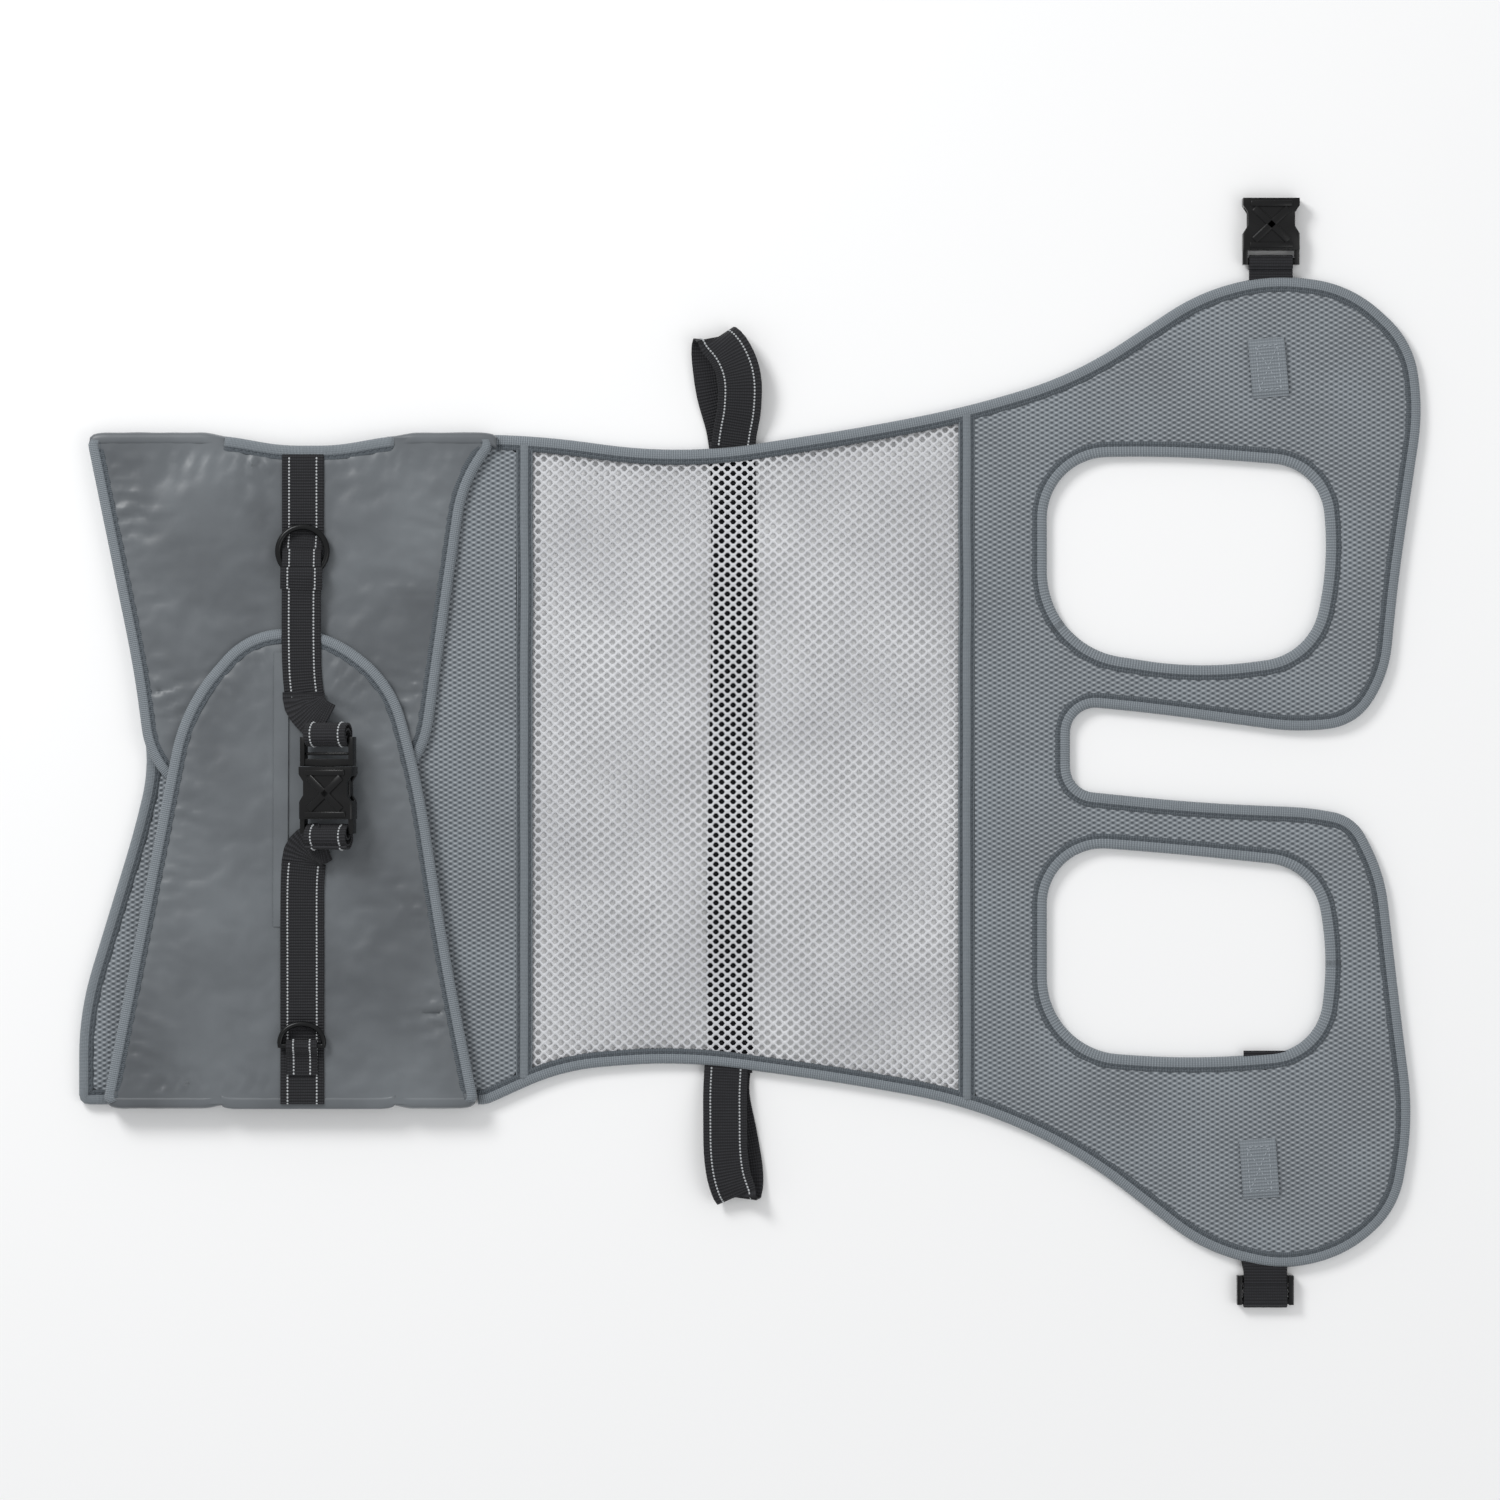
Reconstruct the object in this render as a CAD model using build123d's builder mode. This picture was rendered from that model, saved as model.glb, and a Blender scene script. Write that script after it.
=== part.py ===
from build123d import *
import math
import os

# Full-body lifting harness, lying open on a table with its two chest flaps folded
# in and buckled. Millimetres. X runs along the carrier, Y across it, Z up, and the
# origin is the middle of the bounding box on the table.

# ---- Driving dimensions -------------------------------------------------------
# Stations along X, from the left edge
chest_length = 240.0  # left edge to the first window seam
seam_width = 9.0
window_length = 234.0
hip_length = 245.0  # second window seam to the right edge

# Widths along Y
upper_fold_y = 174.0  # fold line of the upper flap
lower_fold_y = -193.0  # fold line of the lower flap
upper_lobe_y = 261.5  # tip of the upper hip lobe
lower_lobe_y = -283.0  # tip of the lower hip lobe

# Cloth thicknesses
shell_thickness = 0.8
foam_thickness = 4.4
lining_thickness = 0.8
flap_foam_thickness = 2.4
mesh_thickness = 1.6
binding_width = 8.0
layer_gap = 0.6  # air between panels that lie on each other
slip = 0.3  # clearance between pieces that move

# Webbing and hardware
webbing_width = 25.0
webbing_thickness = 1.3
bar_radius = 1.9
bar_clearance = 0.3
buckle_half_width = 15.5
rail_width = 2.6
socket_length = 34.5  # from the webbing bar to the mouth
socket_thickness = 9.0
socket_back = 6.0  # start of the hollow body
cavity_height = 4.8
cavity_depth = 22.5
plug_stop = 14.0  # from the webbing bar to the stop shoulder
plug_frame_thickness = 5.2
prong_thickness = 3.2
prong_length = 21.5
prong_width = 4.4
guide_width = 6.0
buckle_tilt = 18.0  # the closed buckle leans on its webbing
buckle_height = 27.6  # axis of the closed buckle above the table
roll_radius = 7.0  # webbing tail rolled on each bar
roll_offset = 3.6
ring_outer_radius = 15.0
ring_wire_radius = 1.7
ring_bore_radius = 3.0
ring_height = 14.9
d_ring_width = 27.0
d_ring_depth = 15.0
d_ring_wire_radius = 1.5

# Places of the straps
chest_strap_x = -245.0
chest_strap_end = 3.0  # the strap starts this far inside the upper fold
ring_y = 110.5  # centre of the O-ring
buckle_x = -230.0
socket_bar_y = -42.0
d_ring_bar_y = -160.0
belly_strap_share = 0.468  # of the window, from its front seam
upper_lobe_strap_x = 286.0
lower_lobe_strap_x = 283.0
lobe_socket_bar_y = 270.0
lobe_plug_bar_y = -301.0
lobe_bar_height = 3.8
lobe_prong_drop = 1.8  # the plug's prongs lie under the lobe, below its strap
handle_length = 64.0
handle_rise = 13.0
handle_seat = 14.0  # both layers sewn together at the root
upper_handle_root = 169.6  # edge of the waist under each handle
lower_handle_root = -174.6
tab_width = 20.0  # patches sewn on the lobes
tab_length = 32.0
tab_thickness = 0.8
leg_cut_x = -242.0  # front-leg cut-outs on the fold lines
leg_cut_width = 82.0
leg_cut_depth = 62.0
notch_depth = 5.5  # shallow neck notch in the upper flap's fold
notch_half_width = 46.0
notch_corner = 110.0

# ---- Worked out ---------------------------------------------------------------
half_length = (chest_length + window_length + hip_length) / 2 + seam_width
x_left = -half_length
x_seam_1 = x_left + chest_length
x_window_1 = x_seam_1 + seam_width
x_window_2 = x_window_1 + window_length
x_seam_2 = x_window_2 + seam_width
x_right = x_seam_2 + hip_length

foam_base = shell_thickness
lining_base = foam_base + foam_thickness
base_top = lining_base + lining_thickness
flap_thickness = lining_thickness + flap_foam_thickness + shell_thickness
upper_flap_base = base_top + layer_gap
upper_flap_top = upper_flap_base + flap_thickness
lower_flap_base = upper_flap_top + layer_gap
lower_flap_top = lower_flap_base + flap_thickness
lobe_web_base = lining_base - webbing_thickness
chest_strap_top = upper_fold_y - chest_strap_end
belly_strap_x = x_window_1 + belly_strap_share * window_length
mesh_base = webbing_thickness + slip

os.makedirs("parts", exist_ok=True)


def save(name, part):
    """Labels a finished piece and writes it to its own file."""
    part.label = name
    export_step(part, f"parts/{name}.step")


def slab(name, face, base, height, cutters=()):
    """A flat piece of cloth or foam cut to a sketch, less the given solids."""
    with BuildPart() as piece:
        with BuildSketch(Plane.XY.offset(base)):
            add(face)
        extrude(amount=height)
        for cutter in cutters:
            add(cutter, mode=Mode.SUBTRACT)
    save(name, piece.part)
    return piece.part


def block(x_range, y_range, z_range):
    """A plain box between two corners, for pockets and clearances."""
    sizes = [high - low for low, high in (x_range, y_range, z_range)]
    middle = [(low + high) / 2 for low, high in (x_range, y_range, z_range)]
    with BuildPart(Plane(origin=middle)) as box:
        Box(*sizes)
    return box.part


# ---- Outlines -----------------------------------------------------------------
def soft_outline(corners):
    """A closed outline of straight runs joined by tangent arcs. A corner is (x, y) or,
    where the cloth really turns a corner, (x, y, radius); the others get the largest
    arc that their two runs allow."""
    points = [Vector(corner[0], corner[1]) for corner in corners]
    radii = []
    for i, corner in enumerate(corners):
        before = points[i] - points[i - 1]
        after = points[(i + 1) % len(points)] - points[i]
        turn = math.radians(before.get_angle(after))
        reach = 0.48 * min(before.length, after.length)
        largest = reach / math.tan(turn / 2)
        radii.append(min(corner[2], largest) if len(corner) > 2 else largest)
    with BuildSketch() as face:
        with BuildLine():
            FilletPolyline(*points, radius=radii, close=True)
        make_face()
    return face.sketch


def leg_cut(fold_y, direction, depth, corner):
    """Corners of a cut-out that opens on a fold line; direction is its way in, in Y."""
    half = leg_cut_width / 2
    bottom = fold_y + direction * depth
    return [
        (leg_cut_x - half, fold_y, 5),
        (leg_cut_x - half + corner / 6, bottom, corner),
        (leg_cut_x + half - corner / 6, bottom, corner),
        (leg_cut_x + half, fold_y, 5),
    ]


hip_corners = [
    (x_seam_2 + 55, 208),
    (x_seam_2 + 123, upper_lobe_y - 8.5),
    (x_seam_2 + 162, upper_lobe_y + 1.5),
    (x_right - 38, upper_lobe_y - 4),
    (x_right - 4, 226),
    (x_right + 1.2, 188),
    (x_right - 12.5, 95),
    (x_right - 17.5, 43),
    (x_right - 35, 15),
    (x_right - 68, 11.5),
    (x_seam_2 + 98, 22),
    (x_seam_2 + 52.2, 26.5, 14),
    (x_seam_2 + 52.2, -20.5, 14),
    (x_seam_2 + 122, -27.5),
    (x_right - 60, -30.2),
    (x_right - 36, -35),
    (x_right - 20, -66),
    (x_right - 11, -145),
    (x_right - 4, -200),
    (x_right - 12, -250),
    (x_right - 39, -275),
    (x_seam_2 + 170, lower_lobe_y - 1.5),
    (x_seam_2 + 126, lower_lobe_y + 9),
    (x_seam_2 + 56, -220),
]
waist = x_window_1 + 0.35 * window_length  # the carrier is narrowest here
outline = soft_outline(
    [
        (x_left + 4.5, upper_fold_y, 5),
        *leg_cut(upper_fold_y, -1, leg_cut_depth, 30),
        (x_seam_1 + 3, upper_fold_y + 1.5),
        (waist, 163.5),
        (x_window_2 - 54, 178.5),
        (x_seam_2 - 4, 190),
        *hip_corners,
        (x_seam_2 - 4, -193.5),
        (x_window_2 - 64, -181),
        (waist, -169),
        (x_seam_1 + 26, -174),
        (x_seam_1 - 16, lower_fold_y, 12),
        *reversed(leg_cut(lower_fold_y, 1, leg_cut_depth, 30)),
        (x_left, lower_fold_y, 5),
        (x_left, -142),
        (x_left + 30.5, -42),
        (x_left + 38.5, -8),
        (x_left + 31.5, 42),
    ]
)

inset = offset(outline, amount=-binding_width, min_edge_length=0.01)

upper_hole = soft_outline(
    [
        (x_seam_2 + 39.5, 162),
        (x_seam_2 + 108, 163.5),
        (x_seam_2 + 190, 157),
        (x_seam_2 + 194.5, 104),
        (x_seam_2 + 184, 54),
        (x_seam_2 + 123, 46),
        (x_seam_2 + 39.5, 59),
    ]
)
lower_hole = soft_outline(
    [
        (x_seam_2 + 39.5, -50),
        (x_seam_2 + 108, -55),
        (x_seam_2 + 186, -63),
        (x_seam_2 + 194.5, -112),
        (x_seam_2 + 188, -163),
        (x_seam_2 + 122, -168.5),
        (x_seam_2 + 39.5, -163),
    ]
)
upper_hole_grown = offset(upper_hole, amount=binding_width)
lower_hole_grown = offset(lower_hole, amount=binding_width)


def zone_of(face, x_range, y_range=(-half_length, half_length), holes=()):
    """The part of a sketch inside a rectangle, less the given sketches."""
    middle = (sum(x_range) / 2, sum(y_range) / 2)
    with BuildSketch() as zone:
        with Locations(middle):
            Rectangle(x_range[1] - x_range[0], y_range[1] - y_range[0])
        add(face, mode=Mode.INTERSECT)
        for hole in holes:
            add(hole, mode=Mode.SUBTRACT)
    return zone.sketch


beyond = 10.0  # past every edge
chest_range = (x_left - beyond, x_seam_1)
hip_range = (x_seam_2, x_right + beyond)
middle_range = (x_seam_1, x_seam_2)
upper_half = (0, half_length)
lower_half = (-half_length, 0)

chest_face = zone_of(inset, chest_range)
hip_face = zone_of(inset, hip_range, holes=(upper_hole_grown, lower_hole_grown))
window_face = zone_of(inset, (x_window_1, x_window_2))
seam_1_face = zone_of(inset, (x_seam_1, x_window_1))
seam_2_face = zone_of(inset, (x_window_2, x_seam_2))

with BuildSketch() as body_ring:
    add(outline)
    add(inset, mode=Mode.SUBTRACT)
with BuildSketch() as upper_leg_ring:
    add(upper_hole_grown)
    add(upper_hole, mode=Mode.SUBTRACT)
with BuildSketch() as lower_leg_ring:
    add(lower_hole_grown)
    add(lower_hole, mode=Mode.SUBTRACT)

# ---- Straps and pockets in the base -------------------------------------------
half_web = webbing_width / 2
belly_top = 163.0
belly_bottom = -169.0
belly_channel = block(
    (belly_strap_x - half_web, belly_strap_x + half_web),
    (belly_bottom - 20, belly_top + 20),
    (-1, webbing_thickness),
)


def lobe_channel(strap_x, y_from, y_to):
    """The sewn channel that a lobe strap runs in, under the lining."""
    return block(
        (strap_x - half_web, strap_x + half_web),
        sorted((y_from, y_to)),
        (lobe_web_base, lining_base),
    )


upper_strap_start = 158.0
lower_strap_start = -163.0
upper_channel = lobe_channel(upper_lobe_strap_x, upper_strap_start, upper_lobe_y + 3)
lower_channel = lobe_channel(lower_lobe_strap_x, lower_strap_start, lower_lobe_y - 3)
plug_reach = plug_stop + prong_length
plug_pocket = block(
    (
        lower_lobe_strap_x - buckle_half_width - 1,
        lower_lobe_strap_x + buckle_half_width + 1,
    ),
    (lower_lobe_y - 10, lobe_plug_bar_y + plug_reach + 2),
    (-1, lobe_web_base - 0.01),
)

# ---- Base panels --------------------------------------------------------------
slab("chest_shell", chest_face, 0, shell_thickness)
slab("chest_foam", chest_face, foam_base, foam_thickness)
slab("chest_lining", chest_face, lining_base, lining_thickness)
slab("hip_shell", hip_face, 0, shell_thickness, [plug_pocket])
slab(
    "hip_foam",
    hip_face,
    foam_base,
    foam_thickness,
    [upper_channel, lower_channel, plug_pocket],
)
slab("hip_lining", hip_face, lining_base, lining_thickness)
slab("belly_mesh", window_face, mesh_base, mesh_thickness)
slab("front_seam_tape", seam_1_face, 0, base_top)
slab("rear_seam_tape", seam_2_face, 0, base_top)
for name, x_range, y_range in (
    ("chest_upper_binding", chest_range, upper_half),
    ("chest_lower_binding", chest_range, lower_half),
    ("window_upper_binding", middle_range, upper_half),
    ("window_lower_binding", middle_range, lower_half),
    ("hip_upper_binding", hip_range, upper_half),
    ("hip_lower_binding", hip_range, lower_half),
):
    slab(
        name,
        zone_of(body_ring.sketch, x_range, y_range),
        0,
        base_top,
        [belly_channel, upper_channel, lower_channel, plug_pocket],
    )
slab("upper_leg_binding", upper_leg_ring.sketch, 0, base_top, [upper_channel])
slab("lower_leg_binding", lower_leg_ring.sketch, 0, base_top, [lower_channel])

# ---- Straps sewn to the base --------------------------------------------------
with BuildPart() as belly_strap:
    with BuildSketch():
        with Locations((belly_strap_x, (belly_top + belly_bottom) / 2)):
            Rectangle(webbing_width, belly_top - belly_bottom)
    extrude(amount=webbing_thickness)
save("belly_strap", belly_strap.part)

loop_inner = bar_radius + bar_clearance
loop_outer = loop_inner + webbing_thickness


def lobe_strap(name, strap_x, start_y, bar_y, bar_height):
    """A strap under a lobe that ends in a sewn loop round its buckle's bar."""
    with BuildPart() as strap:
        with BuildSketch(Plane.XY.offset(lobe_web_base)):
            with Locations((strap_x, (start_y + bar_y) / 2)):
                Rectangle(webbing_width, abs(bar_y - start_y))
        extrude(amount=webbing_thickness)
        bar_plane = Plane(origin=(strap_x, bar_y, bar_height), z_dir=(1, 0, 0))
        with BuildSketch(bar_plane.offset(-half_web)):
            Circle(loop_outer)
        extrude(amount=webbing_width)
        with BuildSketch(bar_plane.offset(-webbing_width)):
            Circle(loop_inner)
        extrude(amount=2 * webbing_width, mode=Mode.SUBTRACT)
    save(name, strap.part)


lobe_socket_height = slip + socket_thickness / 2
lobe_strap(
    "upper_lobe_strap",
    upper_lobe_strap_x,
    upper_strap_start,
    lobe_socket_bar_y,
    lobe_socket_height,
)
lobe_strap(
    "lower_lobe_strap",
    lower_lobe_strap_x,
    lower_strap_start,
    lobe_plug_bar_y,
    lobe_bar_height,
)

for name, tab_x, tab_y in (
    ("upper_lobe_tab", upper_lobe_strap_x - 1.5, 211.5),
    ("lower_lobe_tab", lower_lobe_strap_x - 3.5, -228.0),
):
    with BuildPart() as tab:
        with BuildSketch(Plane.XY.offset(base_top)):
            with Locations((tab_x, tab_y)):
                RectangleRounded(tab_width, tab_length, 2)
        extrude(amount=tab_thickness)
    save(name, tab.part)

# ---- Chest flaps --------------------------------------------------------------
upper_flap_outline = soft_outline(
    [
        (x_left + 4.5, upper_fold_y, 5),
        (leg_cut_x - notch_half_width, upper_fold_y, notch_corner),
        (leg_cut_x - notch_half_width / 3, upper_fold_y - notch_depth, notch_corner),
        (leg_cut_x + notch_half_width / 3, upper_fold_y - notch_depth, notch_corner),
        (leg_cut_x + notch_half_width, upper_fold_y, notch_corner),
        (x_seam_1 - 8.5, upper_fold_y, 5),
        (x_seam_1 - 27, 146),
        (x_seam_1 - 36, 84),
        (x_seam_1 - 49, -8),
        (leg_cut_x + 20, -37),
        (leg_cut_x - 40, -37),
        (x_left + 38, -12),
        (x_left + 31.5, 42),
    ]
)
lower_flap_outline = soft_outline(
    [
        (x_seam_1 - 20, lower_fold_y, 5),
        (x_seam_1 - 36.5, -110),
        (x_seam_1 - 51, -16),
        (x_seam_1 - 66, 40),
        (leg_cut_x + 10, 68),
        (leg_cut_x - 33, 68),
        (x_left + 57, 26),
        (x_left + 36, -81),
        (x_left + 14, lower_fold_y, 5),
    ]
)


def flap(name, outline_sketch, base):
    """The four layers of a padded flap: lining below, foam, nylon shell, binding."""
    panel = offset(outline_sketch, amount=-binding_width, min_edge_length=0.01)
    with BuildSketch() as ring:
        add(outline_sketch)
        add(panel, mode=Mode.SUBTRACT)
    shell_base = base + lining_thickness + flap_foam_thickness
    slab(f"{name}_lining", panel, base, lining_thickness)
    slab(f"{name}_foam", panel, base + lining_thickness, flap_foam_thickness)
    slab(f"{name}_shell", panel, shell_base, shell_thickness)
    slab(f"{name}_binding", ring.sketch, base, flap_thickness)


flap("upper_flap", upper_flap_outline, upper_flap_base)
flap("lower_flap", lower_flap_outline, lower_flap_base)

# ---- Chest straps -------------------------------------------------------------
ring_hinge_y = ring_y + ring_outer_radius - ring_wire_radius
ring_loop_half = 5.0
ring_loop_wall = 1.4
strap_end = ring_hinge_y - ring_bore_radius
below_strap = block(
    (chest_strap_x - half_web, chest_strap_x + half_web),
    (strap_end - 10, strap_end + 20),
    (upper_flap_top - 5, upper_flap_top),
)
with BuildPart() as upper_flap_strap:
    with BuildSketch(Plane.XY.offset(upper_flap_top)):
        with Locations((chest_strap_x, (chest_strap_top + strap_end) / 2)):
            Rectangle(webbing_width, chest_strap_top - strap_end)
    extrude(amount=webbing_thickness)
    ring_axis = Plane(origin=(chest_strap_x, ring_hinge_y, ring_height), z_dir=(1, 0, 0))
    with BuildSketch(ring_axis.offset(-ring_loop_half)):
        Circle(ring_bore_radius + ring_loop_wall)
    extrude(amount=2 * ring_loop_half)
    with BuildSketch(ring_axis.offset(-2 * ring_loop_half)):
        Circle(ring_bore_radius)
    extrude(amount=4 * ring_loop_half, mode=Mode.SUBTRACT)
    add(below_strap, mode=Mode.SUBTRACT)
save("upper_flap_strap", upper_flap_strap.part)

with BuildPart() as o_ring:
    ring_centre_radius = ring_outer_radius - ring_wire_radius
    ring_centre = Vector(chest_strap_x, ring_y, ring_height)
    with BuildSketch(Plane(origin=ring_centre, x_dir=(1, 0, 0), z_dir=(0, -1, 0))):
        with Locations((ring_centre_radius, 0)):
            Circle(ring_wire_radius)
    revolve(axis=Axis(ring_centre, (0, 0, 1)))
save("o_ring", o_ring.part)

free_strap_top = ring_y - ring_outer_radius - slip
free_strap_bottom = 24.0
lower_strap_top = socket_bar_y - 14.0
lower_strap_bottom = lower_fold_y + 3.0
for name, y_from, y_to in (
    ("free_strap", free_strap_bottom, free_strap_top),
    ("lower_flap_strap", lower_strap_bottom, lower_strap_top),
):
    with BuildPart() as strap:
        with BuildSketch(Plane.XY.offset(lower_flap_top)):
            with Locations((chest_strap_x, (y_from + y_to) / 2)):
                Rectangle(webbing_width, y_to - y_from)
        extrude(amount=webbing_thickness)
    save(name, strap.part)

# ---- D-ring and its tab -------------------------------------------------------
strap_surface = lower_flap_top + webbing_thickness
d_ring_height = strap_surface + webbing_thickness + d_ring_wire_radius + slip
d_bore = d_ring_wire_radius + slip
d_half = d_ring_width / 2 - d_ring_wire_radius
d_left = (chest_strap_x - d_half, d_ring_bar_y, d_ring_height)
d_right = (chest_strap_x + d_half, d_ring_bar_y, d_ring_height)
d_far_y = d_ring_bar_y + d_ring_depth - 2 * d_ring_wire_radius
with BuildPart() as d_ring:
    with BuildLine() as bow:
        ThreePointArc(d_left, (chest_strap_x, d_far_y, d_ring_height), d_right)
    with BuildSketch(Plane(origin=bow.line @ 0, z_dir=bow.line % 0)):
        Circle(d_ring_wire_radius)
    sweep()
    with BuildSketch(Plane(origin=d_left, z_dir=(1, 0, 0))):
        Circle(d_ring_wire_radius)
    extrude(amount=2 * d_half)
    with Locations(d_left, d_right):
        Sphere(d_ring_wire_radius)
save("d_ring", d_ring.part)

with BuildPart() as d_ring_tab:
    tab_half = d_half - 4.0
    d_axis = Plane(origin=(chest_strap_x, d_ring_bar_y, d_ring_height), z_dir=(1, 0, 0))
    with BuildSketch(d_axis.offset(-tab_half)):
        Circle(d_bore + webbing_thickness)
    extrude(amount=2 * tab_half)
    with BuildSketch(Plane.XY.offset(strap_surface)):
        with Locations((chest_strap_x, d_ring_bar_y - 7)):
            Rectangle(2 * tab_half, 14)
    extrude(amount=webbing_thickness)
    with BuildSketch(d_axis.offset(-2 * tab_half)):
        Circle(d_bore)
    extrude(amount=4 * tab_half, mode=Mode.SUBTRACT)
save("d_ring_tab", d_ring_tab.part)


# ---- Side-release buckles -----------------------------------------------------
# Each is drawn in its own frame: the webbing bar on the local X axis, the mouth
# or the prongs along local +Y.
def buckle_socket(frame):
    """The female half: webbing bar, rails and a hollow body with side windows."""
    half = buckle_half_width
    window_from = 16.0
    window_to = socket_length - 5.0
    with BuildPart() as socket:
        with BuildSketch(frame.offset(-socket_thickness / 2)):
            with BuildLine():
                Polyline(
                    (-half, socket_back),
                    (-half, window_from - 1),
                    (-half + 2.6, window_from + 3),
                    (-half + 2.6, window_to - 3),
                    (-half, window_to + 1),
                    (-half, socket_length),
                    (half, socket_length),
                    (half, window_to + 1),
                    (half - 2.6, window_to - 3),
                    (half - 2.6, window_from + 3),
                    (half, window_from - 1),
                    (half, socket_back),
                    close=True,
                )
            make_face()
        extrude(amount=socket_thickness)
        long_edges = socket.edges().filter_by(Axis.Y)
        if long_edges:
            chamfer(long_edges.filter_by(lambda e: e.length > 8), length=0.8)
        rail_x = half - rail_width / 2
        with BuildSketch(frame.offset(-plug_frame_thickness / 2)):
            with Locations((rail_x, socket_back / 2), (-rail_x, socket_back / 2)):
                Rectangle(rail_width, socket_back + 2 * bar_radius)
        extrude(amount=plug_frame_thickness)
        across = Plane(origin=frame.origin, x_dir=frame.y_dir, z_dir=frame.x_dir)
        with BuildSketch(across.offset(-half)):
            Circle(bar_radius)
        extrude(amount=2 * half)
        mouth = frame.offset(-cavity_height / 2)
        with BuildSketch(mouth):
            with Locations((0, socket_length - cavity_depth / 2)):
                Rectangle(2 * (half - 1.6), cavity_depth)
            with Locations((0, (window_from + window_to) / 2)):
                Rectangle(3 * half, window_to - window_from)
        extrude(amount=cavity_height, mode=Mode.SUBTRACT)
    return socket.part


def buckle_plug(frame, drop):
    """The male half without its latch arms: bar, rails, shoulder and guide. The
    shoulder and the guide lie lower than the bar by drop."""
    half = buckle_half_width
    shoulder = 4.0
    with BuildPart() as plug:
        rail_x = half - rail_width / 2
        with BuildSketch(frame.offset(-plug_frame_thickness / 2)):
            with Locations((rail_x, plug_stop / 2 - 1), (-rail_x, plug_stop / 2 - 1)):
                Rectangle(rail_width, plug_stop + 2)
        extrude(amount=plug_frame_thickness)
        with BuildSketch(frame.offset(-prong_thickness / 2 - drop)):
            with Locations((0, plug_stop - shoulder / 2)):
                Rectangle(2 * half, shoulder)
            with Locations((0, plug_stop + prong_length / 2 - 1)):
                Rectangle(guide_width, prong_length - 2)
        extrude(amount=prong_thickness)
        across = Plane(origin=frame.origin, x_dir=frame.y_dir, z_dir=frame.x_dir)
        with BuildSketch(across.offset(-half)):
            Circle(bar_radius)
        extrude(amount=2 * half)
    return plug.part


arm_clearance = 0.5  # between a latch arm and the socket's side posts


def latch_arm(frame, side, drop):
    """One springy latch arm; side is +1 or -1 across the plug."""
    outer = buckle_half_width - 1.6 - arm_clearance
    inner = outer - prong_width
    with BuildPart() as arm:
        with BuildSketch(frame.offset(-prong_thickness / 2 - drop)):
            with BuildLine():
                Polyline(
                    (side * inner, plug_stop + slip),
                    (side * (inner + 2.4), plug_stop + slip),
                    (side * outer, plug_stop + 9),
                    (side * outer, plug_stop + 15),
                    (side * (outer - 1.5), plug_stop + prong_length),
                    (side * (inner + 1), plug_stop + prong_length),
                    close=True,
                )
            make_face()
        extrude(amount=prong_thickness)
    return arm.part


tilt = math.radians(buckle_tilt)
across_dir = (math.cos(tilt), 0, math.sin(tilt))
back_dir = (-math.cos(tilt), 0, -math.sin(tilt))
up_dir = (-math.sin(tilt), 0, math.cos(tilt))
plug_bar_y = socket_bar_y + socket_length + plug_stop + slip
socket_frame = Plane((buckle_x, socket_bar_y, buckle_height), across_dir, up_dir)
plug_frame = Plane((buckle_x, plug_bar_y, buckle_height), back_dir, up_dir)
lobe_socket_frame = Plane((upper_lobe_strap_x, lobe_socket_bar_y, lobe_socket_height))
lobe_plug_frame = Plane((lower_lobe_strap_x, lobe_plug_bar_y, lobe_bar_height))

save("centre_socket", buckle_socket(socket_frame))
save("centre_plug", buckle_plug(plug_frame, 0))
save("centre_plug_left_arm", latch_arm(plug_frame, 1, 0))
save("centre_plug_right_arm", latch_arm(plug_frame, -1, 0))
save("lobe_socket", buckle_socket(lobe_socket_frame))
save("lobe_plug", buckle_plug(lobe_plug_frame, lobe_prong_drop))
save("lobe_plug_left_arm", latch_arm(lobe_plug_frame, -1, lobe_prong_drop))
save("lobe_plug_right_arm", latch_arm(lobe_plug_frame, 1, lobe_prong_drop))


def web_roll(name, frame):
    """The webbing tail rolled round a buckle's bar, away from the buckle."""
    across = Plane(origin=frame.origin, x_dir=frame.y_dir, z_dir=frame.x_dir)
    with BuildPart() as roll:
        with BuildSketch(across.offset(-half_web)):
            with Locations((-roll_offset, 0)):
                Circle(roll_radius)
        extrude(amount=webbing_width)
        with BuildSketch(across.offset(-webbing_width)):
            Circle(loop_inner)
        extrude(amount=2 * webbing_width, mode=Mode.SUBTRACT)
    save(name, roll.part)


web_roll("socket_web_roll", socket_frame)
web_roll("plug_web_roll", plug_frame)


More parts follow.
